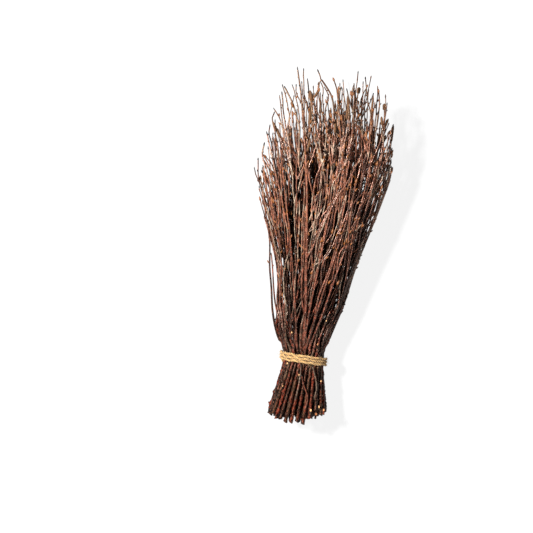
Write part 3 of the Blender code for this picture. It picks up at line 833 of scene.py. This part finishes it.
class Skeleton:
    """Middle lines and growth points of one twig, which the growth tree turns into its mesh."""

    def __init__(self):
        self.shape = bmesh.new()
        floats = self.shape.verts.layers.float
        vectors = self.shape.verts.layers.float_vector
        self.layers = [floats.new(name) for name in ("radius", "kind", "tone", "age", "cut")]
        self.layers += [vectors.new(name) for name in ("axis", "stretch")]

    def point(self, co, *values):
        """One point, with its radius, kind, tone, age and cut, its axis and its stretch."""
        vertex = self.shape.verts.new(co)
        for layer, value in zip(self.layers, values):
            vertex[layer] = value
        return vertex

    def run(self, kind, places, tone, ages, cut=None, fresh=FRESH):
        """One tube along these places, above the floor. A cut first end faces the given way."""
        before = None
        for place, age in zip(places, ages):
            ending = None if before else cut
            co = Vector((place.x, place.y, max(place.z, place[3] + FLOOR_GAP)))
            vertex = self.point(co, place[3], kind, tone, age, fresh if ending else 0.0, ending or UP, UP)
            if before:
                self.shape.edges.new((before, vertex))
            before = vertex

    def growth(self, kind, co, axis, width, length, tone, age=1.0):
        """One bud, catkin or knob at a point, above the floor."""
        lowest = min(co.z, co.z + length * axis.z) - 0.5 * width
        lifted = co + max(0.0, FLOOR_GAP - lowest) * UP
        self.point(lifted, 0.0, kind, tone, age, 0.0, axis, (width, width, length))


@dataclass
class Grower:
    """What a twig's growth needs: settings, the fan round it, its dice, and how slim it gets."""

    look: bpy.types.PropertyGroup
    fan: Fan
    dice: random.Random
    slimness: float = 1.0
    girth: float = 1.0

    def slimmed(self, place):
        """Radius of a stem's place once it is slimmed past the tie."""
        girth = self.girth + (1.0 - self.girth) * part_way(place.y, *CUT_END_SPAN)
        slim = place[3] * girth * (1.0 - self.slimness * (1.0 - slimming(place.y)))
        return max(slim, LEAST_RADIUS)

    def age(self, place, least=0.0):
        """How young the bark is at a place, with painted shade: toward the heart of the bundle it
        is darkened as if older, and under 0 it is painted black."""
        buried = max(0.0, 1.0 - OUTER_SHARE - math.hypot(*self.fan.shares(place)))
        shade = PAINTED_HEART_SHADE * buried * part_way(place.y, *HEART_SPAN)
        young = max(least, age_at(place.y) * (1.0 - min(MOST_SHADE, shade)))
        if least < 0:
            young = least + (young - least) * part_way(place.y, *SHADED_SPAN)
        return young - part_way(place.y, *PAST_TIE_SPAN) * part_way(shade, *PAINTED_BLACK_SPAN)

    def node_lengths(self, length):
        """Distances of the leaf nodes from a stem's foot."""
        lengths = []
        here = self.dice.uniform(*FIRST_NODE) * self.look.node_spacing
        while here < length - FIRST_NODE[0] * self.look.node_spacing:
            lengths.append(here)
            here += self.look.node_spacing * self.dice.uniform(*NODE_GAPS)
        return lengths

    def bud(self, skeleton, co, axis, large_share=0.3, size=1.0):
        """A side bud: most are small and dark, some are large and tan."""
        sizes, tones = LARGE_BUDS if self.dice.random() < large_share else SMALL_BUDS
        scale = size * self.dice.uniform(*sizes)
        tone = self.dice.uniform(*tones)
        skeleton.growth(BUD, co, axis, scale * self.look.bud_width, scale * self.look.bud_length, tone)

    def tip(self, skeleton, places, kind="bud", length=None, width=None):
        """What ends a shoot."""
        heading = (places[-1] - places[-2]).xyz.normalized()
        foot = places[-1].xyz - TIP_SINK * heading
        if kind == "catkin":
            skeleton.growth(CATKIN, foot, heading, width or self.look.catkin_width, length, 0.8)
        elif length:
            skeleton.growth(BUD, foot, heading, width, length, 0.9 if width > LARGE_TIP else 0.0)
        else:
            self.bud(skeleton, foot, heading, size=1.35)

    def shoot_places(self, start, heading, length, radius, kink):
        """Middle line of one side shoot, which leaves its stem and turns up with the fan."""
        steps = max(3, round(length / SHOOT_STEP))
        here = start.copy()
        turn = self.dice.uniform(0.0, math.tau)
        places = []
        for number in range(steps + 1):
            if number > 2 and here.y > self.crown_edge(here):
                break
            width = max(LEAST_RADIUS, radius * (1.0 - SHOOT_TAPER * (number / steps) ** 0.9))
            places.append(Vector((*here, width)))
            wish = self.fan.heading(here)
            turn += math.pi + self.dice.uniform(*KINK_TURNS)
            heading = heading.lerp(wish, FAN_PULL) + kink * sideways(wish, turn)
            heading.normalize()
            here = self.fan.inside(here + length / steps * heading, FAN_ROOM)
        return places

    def crown_edge(self, point):
        """Highest place along the bundle that anything grows to on this line of the fan."""
        across, _ = self.fan.shares(point)
        if across < 0:
            drop = CROWN_LEFT[1] * max(0.0, -across - CROWN_LEFT[0])
        else:
            drop = CROWN_RIGHT[1] * max(0.0, across - CROWN_RIGHT[0]) ** 2
        return self.look.crown_top - drop

    def reach(self, point):
        """How far along the bundle a shoot from here grows: somewhere in the ragged crown."""
        return self.crown_edge(point) - self.look.crown_depth * self.dice.random() ** 0.5

    def shoot(self, skeleton, start, stem_heading, out, length, radius, tone, depth, wide=1.0):
        """A side shoot with its own buds and, while depth lasts, its own smaller shoots."""
        dice = self.dice
        angle = self.look.shoot_angle * wide * dice.uniform(*SHOOT_ANGLES)
        heading = (math.cos(angle) * stem_heading + math.sin(angle) * out).normalized()
        places = self.shoot_places(start, heading, length, radius, dice.uniform(*SHOOT_KINKS))
        shaded = tone < SHADED_TONE and start.y < SHOOTS_START
        least = SHADED_AGE if shaded else LEAST_SHOOT_AGE
        skeleton.run(SHOOT, places, tone, [self.age(place, least) for place in places])
        side = dice.uniform(0.0, math.tau)
        for number in range(1, len(places) - 1):
            place = places[number]
            here = heading_past(places, number)
            side += GOLDEN_TURN
            around = sideways(here, side)
            rest = length * (1.0 - number / (len(places) - 1))
            if depth > 0 and rest > FORK_ROOM and dice.random() < self.look.fork_chance:
                self.shoot(skeleton, place.xyz, here, around, rest * dice.uniform(*FORK_LENGTHS),
                           max(0.8 * place[3], THINNEST_FORK), tone, depth - 1)
            elif dice.random() < self.bud_chance(place, SHOOT_BUDS):
                self.bud(skeleton, place.xyz + 0.7 * place[3] * around, leaning_out(here, around))
        if dice.random() < CATKIN_CHANCE and places[-1].y > CATKINS_START:
            self.tip(skeleton, places, "catkin", dice.uniform(*CATKIN_LENGTHS))
        else:
            self.tip(skeleton, places)

    def bud_chance(self, place, chances):
        """Chance of a side bud here: the first in the crown, the second below it."""
        return chances[0] if place.y > CROWN_START else chances[1] if place.y > SHOOTS_START else 0.0

    def old_wood(self, place):
        """How far a place lies in a patch of old wood, seen from above: 0 outside, 1 inside."""
        if place.z < self.fan.row(place.y)[3]:
            return 0.0
        away = [
            math.hypot((place.x - x * MM) / (wide * MM), (place.y - y * MM) / (high * MM))
            for x, y, wide, high in OLD_WOOD
        ]
        return 1.0 - part_way(min(away), 0.6, 1.2)

    def ring_lengths(self, at, total, nodes, inner):
        """Distances along a stem where it gets a ring: closest in old wood and at its nodes."""
        lengths = []
        here = NODE_CLEARANCE
        while here < total - 2 * MM:
            lengths.append(here)
            step = OLD_RING_STEP if at(here).y < SHOOTS_START else YOUNG_RING_STEP
            here += INNER_RING_STEP if inner else step
        if not inner:
            lengths = [mark for mark in lengths if all(abs(mark - node) > NODE_CLEARANCE for node in nodes)]
            lengths += [node + step for node in nodes for step in NODE_RINGS]
        return [0.0, *sorted(lengths), total]

    def stem(self, skeleton, knots, tone, inner=False):
        """The main stem, stepping aside and thickening at its nodes, with what grows on it."""
        look = self.look
        dice = self.dice
        fine = smooth_places(knots, STEM_STEP)
        spacing = (fine[1] - fine[0]).xyz.length
        total = spacing * (len(fine) - 1)

        def at(length):
            step = min(max(length / spacing, 0.0), len(fine) - 1.001)
            return fine[int(step)].lerp(fine[int(step) + 1], step - int(step))

        def heading_at(length):
            return (at(length + 2 * MM) - at(length - 2 * MM)).xyz.normalized()

        nodes = self.node_lengths(total)
        side = dice.uniform(0.0, math.tau)
        turns = [side + number * GOLDEN_TURN for number in range(len(nodes))]
        places = []
        ages = []
        for mark in self.ring_lengths(at, total, nodes, inner):
            place = at(mark)
            near = min(range(len(nodes)), key=lambda number: abs(nodes[number] - mark))
            gap = abs(nodes[near] - mark)
            old = self.old_wood(place)
            butt = place.y < TIE_Y
            lumps = BUTT_LUMPS if butt else OLD_LUMPS if place.y < SHOOTS_START else YOUNG_LUMPS + old
            width = self.slimmed(place) * (1.0 + look.lumps * lumps * dice.uniform(-1.0, 1.0))
            if not inner:
                knuckle = look.swelling * ((0.5 if butt else 1.0) + old)
                width *= 1.0 + knuckle * math.exp(-((gap / KNUCKLE_REACH) ** 2))
            aside = look.zigzag * max(0.0, 1.0 - gap / (0.5 * look.node_spacing)) * (place.y > TIE_Y)
            co = place.xyz + aside * sideways(heading_at(mark), turns[near])
            places.append(Vector((*co, width)))
            age = self.age(place)
            if age > 0:
                age *= 1.0 - OLD_STEM_SHADE * old
                # Painted shade: twigs that aren't slimmed, at the heart of the bundle, keep less of their
                # age
                age *= UNSLIMMED_SHADE_AGE + (1.0 - UNSLIMMED_SHADE_AGE) * self.slimness
            ages.append(age)
            if not inner and dice.random() < KNOB_CHANCE * old:
                out = sideways(heading_at(mark), dice.uniform(0.0, math.tau))
                size = place[3] * dice.uniform(0.9, 1.3)
                skeleton.growth(KNOB, co + 0.6 * width * out, (out + heading_at(mark)).normalized(),
                                size, 1.4 * size, tone, 0.1)
        while places[-1].y > self.crown_edge(places[-1]) + 2 * MM:
            places.pop()
            ages.pop()
        facing = sideways(heading_at(0.0), dice.uniform(0.0, math.tau))
        fresh = FRESH if dice.random() < FRESH_CHANCE else WEATHERED
        skeleton.run(STEM, places, tone, ages, facing, fresh)
        for node, turn in zip(nodes, turns):
            out = sideways(heading_at(node), turn)
            if at(node).y < places[-1].y:
                self.side_growth(skeleton, at(node), heading_at(node), out, node / total, tone, inner)
        self.tip(skeleton, places, "bud", *STEM_TIP)
        return places

    def side_growth(self, skeleton, place, heading, out, share, tone, inner):
        """What grows at one node of a stem: a shoot, a bud, a fork, or the scar of a leaf."""
        dice = self.dice
        look = self.look
        radius = self.slimmed(place)
        surface = place.xyz + 0.8 * radius * out
        room = self.reach(place) - place.y
        chance = dice.random()
        if place.y > SHOOTS_START and share < 0.95 and chance < look.shoot_chance and room > SHOOT_ROOM:
            tall = dice.random() < 0.5
            length = room if tall else min(room, dice.uniform(*SHORT_SHOOTS))
            self.shoot(skeleton, place.xyz, heading, out, length, dice.uniform(0.5, 1.0) * look.shoot_radius,
                       self.shoot_tone(tone, SHOOT_TONES), 1, TALL_LEAN if tall else SHORT_LEAN)
        elif place.y > SHOOTS_START:
            if dice.random() < self.bud_chance(place, STEM_BUDS):
                self.bud(skeleton, surface, leaning_out(heading, out))
        elif chance < look.fork_share and place.y > FORKS_START:
            length = room * dice.uniform(*LOW_FORK_LENGTHS)
            width = dice.uniform(0.55, 0.9) * min(radius, FORK_RADIUS)
            self.shoot(skeleton, place.xyz, heading, out, length, width,
                       self.shoot_tone(tone, FORK_TONES), 1)
        elif not inner:
            width = min(radius, 1.8 * MM) * dice.uniform(0.8, 1.25)
            axis = (heading + 0.8 * out).normalized()
            skeleton.growth(KNOB, surface, axis, width, 1.5 * width, tone, 0.5 * share)

    def shoot_tone(self, tone, changes):
        """Tone of a shoot on a stem of this tone, after a random change between these."""
        return min(PALEST_SHOOT, max(0.0, tone + self.dice.uniform(*changes)))

    def stub(self, skeleton, start, stem_heading, radius, tone):
        """A pruned side branch whose pale cut face looks up."""
        heading = (0.8 * stem_heading + 0.5 * UP).normalized()
        places = [Vector((*(start + share * STUB_LENGTH * heading), radius)) for share in (1.0, 0.5, 0.0)]
        facing = STUB_SLANT * (UP - 0.3 * stem_heading).normalized()
        skeleton.run(SHOOT, places, tone, spread(0.2, 0.1, 3), facing)


def template(name, shape, material, rise_of):
    """Object that the growth tree copies to its points, one unit long and wide, foot at zero."""
    layer = shape.verts.layers.float.new("rise")
    for vertex in shape.verts:
        vertex[layer] = rise_of(vertex.co)
    for face in shape.faces:
        face.smooth = True
    mesh = bpy.data.meshes.new(name)
    shape.to_mesh(mesh)
    shape.free()
    mesh.materials.append(material)
    return bpy.data.objects.new(name, mesh)


def bud_template(material):
    """Pointed bud of few faces, fattest near its foot."""
    shape = bmesh.new()
    bmesh.ops.create_uvsphere(shape, u_segments=6, v_segments=5, radius=0.5)
    for vertex in shape.verts:
        rise = vertex.co.z + 0.5
        slim = 1.0 - 0.55 * rise**1.6
        vertex.co = Vector((vertex.co.x * slim, vertex.co.y * slim, rise))
    return template("bud_shape", shape, material, lambda co: co.z)


def catkin_template(material):
    """Spindle with rows of raised scales that alternate round it."""
    shape = bmesh.new()
    columns, rows = 10, 30
    bmesh.ops.create_uvsphere(shape, u_segments=columns, v_segments=rows, radius=0.5)
    rises = {}
    for vertex in shape.verts:
        rise = math.acos(max(-1.0, min(1.0, -2.0 * vertex.co.z))) / math.pi
        turn = math.atan2(vertex.co.y, vertex.co.x)
        row = round(rise * rows)
        column = round(turn / math.tau * columns)
        raised = (row + 2 * (column % 2)) % 4 in (1, 2)
        width = min(1.0, 3.2 * rise**0.55) * min(1.0, 2.4 * (1.0 - rise) ** 0.6)
        width *= 0.5 * (1.0 if raised else 0.82)
        flat = Vector((math.cos(turn), math.sin(turn), 0.0)) * width
        vertex.co = Vector((flat.x, flat.y, rise))
        rises[tuple(vertex.co)] = 1.0 if raised else 0.35
    return template("catkin_shape", shape, material, lambda co: rises[tuple(co)])


def knob_template(material):
    """Low rough knob of an old leaf scar."""
    shape = bmesh.new()
    bmesh.ops.create_icosphere(shape, subdivisions=1, radius=0.5)
    for vertex in shape.verts:
        vertex.co.z = 0.9 * vertex.co.z + 0.2
    return template("knob_shape", shape, material, lambda co: 0.0)


def points_of(tree, geometry, kind):
    """The skeleton's points of one kind."""
    marks = add_node(tree, "GeometryNodeInputNamedAttribute", {"Name": "kind"}, data_type="FLOAT")
    same = add_node(tree, "FunctionNodeCompare", {"A": marks, "B": float(kind), "Epsilon": 0.1},
                    data_type="FLOAT", operation="EQUAL")
    return add_node(tree, "GeometryNodeSeparateGeometry", (geometry, same), domain="POINT")


def tubes(tree, points, sides, material):
    """Round tubes with closed ends along a skeleton's runs."""
    curves = add_node(tree, "GeometryNodeMeshToCurve", (points,))
    profile = add_node(tree, "GeometryNodeCurvePrimitiveCircle", {"Resolution": sides, "Radius": 1.0})
    radius = add_node(tree, "GeometryNodeInputNamedAttribute", {"Name": "radius"}, data_type="FLOAT")
    tube = add_node(tree, "GeometryNodeCurveToMesh", (curves, profile, radius, True))
    return add_node(tree, "GeometryNodeSetMaterial", {"Geometry": tube, "Material": material})


def growths(tree, points, shape):
    """Copies of a template at a skeleton's points, stretched and turned by their own values."""
    source = add_node(tree, "GeometryNodeObjectInfo", {"Object": shape}, "Geometry")
    axis, stretch = (
        add_node(tree, "GeometryNodeInputNamedAttribute", {"Name": name}, data_type="FLOAT_VECTOR")
        for name in ("axis", "stretch")
    )
    turned = add_node(tree, "FunctionNodeAlignRotationToVector", {"Vector": axis}, axis="Z")
    copies = add_node(tree, "GeometryNodeInstanceOnPoints",
                      {"Points": points, "Instance": source, "Rotation": turned, "Scale": stretch})
    return add_node(tree, "GeometryNodeRealizeInstances", (copies,))


def growth_tree(name, material, sides, templates=()):
    """Geometry Nodes that turn a skeleton's stems and shoots into tubes with these numbers of
    sides, and each other kind of point into copies of its template."""
    tree = bpy.data.node_groups.new(name, "GeometryNodeTree")
    for way, socket in (("INPUT", "Skeleton"), ("OUTPUT", "Piece")):
        tree.interface.new_socket(socket, in_out=way, socket_type="NodeSocketGeometry")
    skeleton = add_node(tree, "NodeGroupInput")
    parts = []
    for kind, faces in zip((STEM, SHOOT), sides):
        parts.append(tubes(tree, points_of(tree, skeleton, kind), faces, material))
    for kind, shape in templates:
        parts.append(growths(tree, points_of(tree, skeleton, kind), shape))
    joined = add_node(tree, "GeometryNodeJoinGeometry")
    for part in reversed(parts):
        tree.links.new(part, joined.node.inputs[0])
    add_node(tree, "NodeGroupOutput", (joined,))
    return tree


def grown(name, skeleton, tree):
    """Object whose mesh is what the growth tree makes of a skeleton."""
    lines = bpy.data.meshes.new(name)
    skeleton.shape.to_mesh(lines)
    skeleton.shape.free()
    obj = bpy.data.objects.new(name, lines)
    bpy.context.collection.objects.link(obj)
    obj.modifiers.new("growth", "NODES").node_group = tree
    depsgraph = bpy.context.evaluated_depsgraph_get()
    mesh = bpy.data.meshes.new_from_object(obj.evaluated_get(depsgraph))
    obj.modifiers.clear()
    obj.data = mesh
    mesh.name = name
    bpy.data.meshes.remove(lines)
    return obj


def dress_cuts(obj, fresh_wood, old_wood):
    """Slants every cut end, and gives it a rim of bark, wood and a pith."""
    obj.data.materials.append(fresh_wood)
    obj.data.materials.append(old_wood)
    slots = len(obj.data.materials)
    shape = bmesh.new()
    shape.from_mesh(obj.data)
    cut = shape.verts.layers.float["cut"]
    axis = shape.verts.layers.float_vector["axis"]
    for face in shape.faces:
        face.smooth = len(face.verts) <= 4
    ends = [f for f in shape.faces if len(f.verts) > 4 and all(v[cut] > 0.5 for v in f.verts)]
    for face in ends:
        centre = face.calc_center_median()
        normal = face.normal.copy()
        facing = face.verts[0][axis]
        slant = CUT_SLANT * facing.length
        facing = (facing - facing.dot(normal) * normal).normalized()
        radius = (face.verts[0].co - centre).length
        slot = slots - 2 if face.verts[0][cut] > 0.5 * (FRESH + WEATHERED) else slots - 1
        for vertex in face.verts:
            vertex.co -= slant * normal * (vertex.co - centre).dot(facing)
        for share, value in ((0.14, 1.0), (0.55, 0.0)):
            bmesh.ops.inset_individual(shape, faces=[face], thickness=share * radius, use_even_offset=False)
            for vertex in face.verts:
                vertex[cut] = value
            if value > 0:
                face.material_index = slot
    shape.to_mesh(obj.data)
    shape.free()


def slot_of(node):
    """The record's material slot of a CAD node."""
    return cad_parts[node].data.materials[0].name.split(".")[0]


def twig_piece(name, skeleton, tree, woods, node):
    """One twig grown from its skeleton, with its cuts dressed, in place of its CAD node."""
    piece = grown(name, skeleton, tree)
    dress_cuts(piece, *woods)
    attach(piece, "root")
    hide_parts(node)


def seen_at(x, y, z):
    """Point at height z which the camera sees where it sees (x, y) on the middle level."""
    share = (CAMERA.z - z) / (CAMERA.z - MIDDLE_LEVEL)
    return Vector((CAMERA.x + (x - CAMERA.x) * share, CAMERA.y + (y - CAMERA.y) * share, z))


def hand_places(fan, stems, across, thick):
    """Middle line of a listed shoot, and the name of the stem that it grows from."""
    first = Vector([value * MM for value in across[0]])
    last_y = across[-1][1] * MM
    foot_y = first.y - (HAND_FEET[0] if first.y < SHOOTS_START else HAND_FEET[1])
    over = HAND_RISE if first.y < CROWN_START else HAND_DROP

    def distance(name):
        place = at_y(stems[name], foot_y)
        hidden = fan.top(place.x, foot_y) - place.z
        beyond = 1.0 if stems[name][-1].y < foot_y else 0.0
        return abs(place.x - first.x) + 0.6 * max(0.0, hidden) + beyond

    name = min(stems, key=distance)
    foot = at_y(stems[name], foot_y)
    knots = [Vector((*foot.xyz, 0.5 * thick[0] * MM))]
    for x, y in across:
        along = (y * MM - foot_y) / max(last_y - foot_y, MM)
        radius = 0.47 * MM * (thick[0] + (thick[1] - thick[0]) * along**0.8)
        rise = min(1.0, (y * MM - foot_y) / HAND_CLIMB)
        height = foot.z + (fan.top(x * MM, y * MM) + over - foot.z) * rise
        knots.append(Vector((*seen_at(x * MM, y * MM, height), radius)))
    return name, smooth_places(knots, 5 * MM)


def add_hand_shoots(grower, stems, skeletons):
    """Grows the listed shoots on their nearest stems."""
    dice = grower.dice
    for kind, length, width, thick_foot, thick_end, tone, across in HAND_SHOOTS:
        name, places = hand_places(grower.fan, stems, across, (thick_foot, thick_end))
        skeleton = skeletons[name]
        if tone is None:
            tone = dice.uniform(0.25, 0.9)
        ages = []
        for place in places:
            shade = OLD_HAND_SHADE * grower.old_wood(place)
            ages.append(max(LEAST_HAND_AGE, age_at(place.y)) * (1.0 - shade))
        skeleton.run(SHOOT, places, tone, ages)
        grower.tip(skeleton, places, kind, length * MM, 0.88 * width * MM)
        side = dice.uniform(0.0, math.tau)
        for number in range(2, len(places) - 2, 2):
            place = places[number]
            if place.y >= SHOOTS_START:
                side += GOLDEN_TURN
                heading = heading_past(places, number)
                out = sideways(heading, side)
                grower.bud(skeleton, place.xyz + 0.7 * place[3] * out, leaning_out(heading, out), 0.25)


def add_stubs(grower, stems, skeletons):
    """Grows the listed pruned stubs on the stems under them."""
    for x, y, thick, pale in CUT_STUBS:
        spot = seen_at(x * MM, y * MM, grower.fan.top(x * MM, y * MM))

        def distance(name):
            place = at_y(stems[name], spot.y)
            below = place.z < grower.fan.row(spot.y)[3]
            past = stems[name][0].y > spot.y - 6 * MM
            return abs(place.x - spot.x) + (1.0 if below or past else 0.0) - 0.3 * place.z

        name = min(stems, key=distance)
        place = at_y(stems[name], spot.y - 5 * MM)
        heading = (at_y(stems[name], spot.y) - place).xyz.normalized()
        start = Vector((spot.x, place.y, place.z + 0.3 * place[3]))
        grower.stub(skeletons[name], start, heading, 0.5 * thick * MM, pale)


def inner_knots(grower, number, radius):
    """Middle line of one twig at the heart of the bundle, spread like seeds in a head."""
    dice = grower.dice
    reach = math.sqrt((number + 0.5) / grower.look.inner_count)
    turn = number * GOLDEN_TURN
    lowest = min(vertex.co.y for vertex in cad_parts["inner_twigs"].data.vertices)
    start = lowest + dice.uniform(*INNER_BUTTS)
    lean = dice.uniform(*INNER_LEAN)

    def point_at(y):
        share = (y - start) / 0.4
        tight = INNER_ROOM + INNER_SPREAD * part_way(y, *INNER_SPAN)
        angle = turn + lean * math.sin(math.pi * share) + 0.10 * math.sin(9 * share + number)
        return grower.fan.place(reach * tight * math.cos(angle), reach * tight * math.sin(angle), y)

    end = grower.reach(point_at(INNER_AIM))
    knots = []
    for y in spread(start, end, INNER_PLACES):
        share = (y - start) / (end - start)
        knots.append(Vector((*point_at(y), radius * (1.0 - 0.68 * share**0.85))))
    return knots


class BUNDLE_OT_twigs(bpy.types.Operator):
    """Grow every twig on its CAD stem, and the inner twigs in the space of their solid"""

    bl_idname = "bundle.twigs"
    bl_label = "Grow Twigs"
    bl_options = {"REGISTER", "UNDO"}

    def execute(self, context):
        look = context.scene.bundle_twigs
        skin = context.scene.bundle_bark
        bark = birch_bark(skin)
        templates = {
            BUD: bud_template(bud_scale(skin)),
            CATKIN: catkin_template(catkin_scale(skin)),
            KNOB: knob_template(bark),
        }
        woods = (cut_birch_wood(skin), weathered_birch_wood())
        tree = growth_tree("twig_growth", bark, (look.stem_sides, look.shoot_sides), templates.items())
        twigs = sorted(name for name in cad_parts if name[-1].isdigit())
        knots = {name: read_tube(name, TWIG_SIDES) for name in twigs}
        fan = Fan([places for name, places in knots.items() if name.startswith("outer")])
        stems = {}
        skeletons = {}
        for name, places in knots.items():
            dice = random.Random(name)
            grower = Grower(look, fan, dice, SLIMNESS[name.split("_")[0]], dice.uniform(*GIRTHS))
            skeletons[name] = Skeleton()
            stems[name] = grower.stem(skeletons[name], places, dice.uniform(*TONES[slot_of(name)]))
        upper = {name: places for name, places in stems.items() if not name.startswith("deep")}
        hand = Grower(look, fan, random.Random("hand"))
        add_hand_shoots(hand, upper, skeletons)
        add_stubs(hand, upper, skeletons)
        for name, skeleton in skeletons.items():
            twig_piece(name.replace("twig", "birch_twig"), skeleton, tree, woods, name)
        for number in range(look.inner_count):
            grower = Grower(look, fan, random.Random(f"inner {number}"), SLIMNESS["inner"])
            places = inner_knots(grower, number, look.inner_radius * grower.dice.uniform(*INNER_RADII))
            skeleton = Skeleton()
            # Inner twigs take only the darker tones: painted shade at the heart of the bundle
            grower.stem(skeleton, places, 0.6 * grower.dice.random(), inner=True)
            twig_piece(f"inner_birch_twig_{number + 1:02d}", skeleton, tree, woods, "inner_twigs")
        bpy.data.node_groups.remove(tree)
        for shape in templates.values():
            bpy.data.objects.remove(shape)
        return {"FINISHED"}


def twine_run(route, look, ply, strand, dice):
    """One yarn strand of one ply: a helix round a helix round the route."""
    ply_radius = PLY_PLACE * look.diameter
    strand_radius = STRAND_PLACE * look.diameter
    places = []
    across = None
    walked = 0.0
    for number, place in enumerate(route):
        after = route[min(number + 1, len(route) - 1)]
        before = route[max(number - 1, 0)]
        heading = (after - before).xyz.normalized()
        if across is None:
            across = heading.orthogonal().normalized()
        across = (across - across.dot(heading) * heading).normalized()
        beside = heading.cross(across)
        turn = math.tau * (walked / look.twist + ply / len(PLY_TONES))
        twist = -math.tau * (STRAND_TWIST * walked / look.twist - strand / look.strands)
        out = math.cos(turn) * across + math.sin(turn) * beside
        square = heading.cross(out)
        local = math.cos(twist) * out + math.sin(twist) * square
        co = place.xyz + ply_radius * out + strand_radius * local
        places.append(Vector((*co, 0.5 * strand_radius * dice.uniform(0.95, 1.25) + 0.08 * MM)))
        walked += (after - place).xyz.length
    return places


def fibre_run(route, look, dice):
    """One stray fibre that stands out of the twine and bends."""
    start = dice.randrange(4, len(route) - 5)
    heading = (route[start + 1] - route[start]).xyz.normalized()
    out = sideways(heading, dice.uniform(0.0, math.tau))
    length = dice.uniform(*FIBRE_LENGTHS)
    bend = sideways(heading, dice.uniform(0.0, math.tau))
    lean = dice.choice((-1.0, 1.0)) * dice.uniform(0.6, 1.6)
    away = (out + lean * heading).normalized()
    foot = route[start].xyz + 0.42 * look.diameter * out
    return [
        Vector((*(foot + length * (share * away + 0.35 * share * share * bend)), FIBRE_RADIUS))
        for share in (0.0, 0.35, 0.7, 1.0)
    ]


class BUNDLE_OT_twine(bpy.types.Operator):
    """Lay the jute twine along its CAD route, as three twisted plies with stray fibres"""

    bl_idname = "bundle.twine"
    bl_label = "Wind Twine"
    bl_options = {"REGISTER", "UNDO"}

    def execute(self, context):
        look = context.scene.bundle_twine
        dice = random.Random("twine")
        route = smooth_places(read_tube("jute_twine", TWINE_SIDES), TWINE_STEP)
        phases = [dice.uniform(0.0, math.tau) for _ in STRAY_WAVES]
        for number, place in enumerate(route):
            along = number * TWINE_STEP / MM
            swing = sum(math.sin(phase + along / wave) for phase, wave in zip(phases, STRAY_WAVES))
            place.y += 0.5 * look.wander * swing
        skeleton = Skeleton()
        for ply, pale in enumerate(PLY_TONES):
            for strand in range(look.strands):
                places = twine_run(route, look, ply, strand, dice)
                skeleton.run(STEM, places, pale + dice.uniform(-0.3, 0.2), spread(0.0, 1.0, len(places)))
        for _ in range(look.fibres):
            places = fibre_run(route, look, dice)
            if min(place.z for place in places) > FIBRE_GAP:
                skeleton.run(SHOOT, places, dice.uniform(0.6, 1.0), spread(0.0, 1.0, len(places)))
        tree = growth_tree("twine_growth", spun_jute(look), YARN_SIDES)
        piece = grown("jute_twine_plies", skeleton, tree)
        piece.data.shade_smooth()
        bpy.data.node_groups.remove(tree)
        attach(piece, "root")
        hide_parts("jute_twine")
        return {"FINISHED"}


def hang_light(context, name, power, size, place):
    """Hangs a round soft light at this place and turns it to the bundle."""
    light = bpy.data.lights.new(name, "AREA")
    light.shape = "DISK"
    light.size = size
    light.energy = power
    obj = bpy.data.objects.new(name, light)
    obj.location = place
    obj.rotation_euler = (LIT_POINT - obj.location).to_track_quat("-Z", "Y").to_euler()
    context.collection.objects.link(obj)


class BUNDLE_OT_stage(bpy.types.Operator):
    """Lay the pale floor, hang the soft light and set the camera straight above"""

    bl_idname = "bundle.stage"
    bl_label = "Build Stage"
    bl_options = {"REGISTER", "UNDO"}

    def execute(self, context):
        look = context.scene.bundle_stage
        shape = bmesh.new()
        bmesh.ops.create_grid(shape, x_segments=1, y_segments=1, size=FLOOR_HALF)
        mesh = bpy.data.meshes.new("floor")
        shape.to_mesh(mesh)
        shape.free()
        mesh.materials.append(lit_acrylic(look))
        floor = bpy.data.objects.new("floor", mesh)
        context.collection.objects.link(floor)
        context.scene.world = white_room(look)
        context.scene.view_settings.view_transform = "Standard"
        hang_light(context, "key_light", look.key_power, *KEY_LIGHT)
        hang_light(context, "fill_light", look.fill_power, *FILL_LIGHT)
        lens = bpy.data.cameras.new("camera")
        lens.lens = look.lens
        camera = bpy.data.objects.new("camera", lens)
        camera.location = CAMERA
        context.collection.objects.link(camera)
        context.scene.camera = camera
        return {"FINISHED"}


class BUNDLE_PT_panel(bpy.types.Panel):
    """Lists what builds the bundle, with its settings"""

    bl_label = "Bundle of Twigs"
    bl_idname = "BUNDLE_PT_panel"
    bl_space_type = "VIEW_3D"
    bl_region_type = "UI"
    bl_category = "Twigs"

    def draw(self, context):
        for operator, settings in (
            ("bundle.twigs", context.scene.bundle_twigs),
            ("bundle.twine", context.scene.bundle_twine),
            ("bundle.stage", context.scene.bundle_stage),
        ):
            box = self.layout.box()
            box.operator(operator)
            for name in settings.__annotations__:
                box.prop(settings, name)
        for name in context.scene.bundle_bark.__annotations__:
            self.layout.prop(context.scene.bundle_bark, name)


SETTINGS = {
    "bundle_twigs": TwigSettings,
    "bundle_bark": BarkSettings,
    "bundle_twine": TwineSettings,
    "bundle_stage": StageSettings,
}
CLASSES = (*SETTINGS.values(), BUNDLE_OT_twigs, BUNDLE_OT_twine, BUNDLE_OT_stage, BUNDLE_PT_panel)


def register():
    for part in CLASSES:
        bpy.utils.register_class(part)
    for name, group in SETTINGS.items():
        setattr(bpy.types.Scene, name, PointerProperty(type=group))


def unregister():
    for name in SETTINGS:
        delattr(bpy.types.Scene, name)
    for part in reversed(CLASSES):
        bpy.utils.unregister_class(part)


def main():
    register()
    bpy.ops.bundle.stage()
    bpy.ops.bundle.twigs()
    bpy.ops.bundle.twine()
    bpy.context.view_layer.update()


if __name__ == "__main__":
    main()
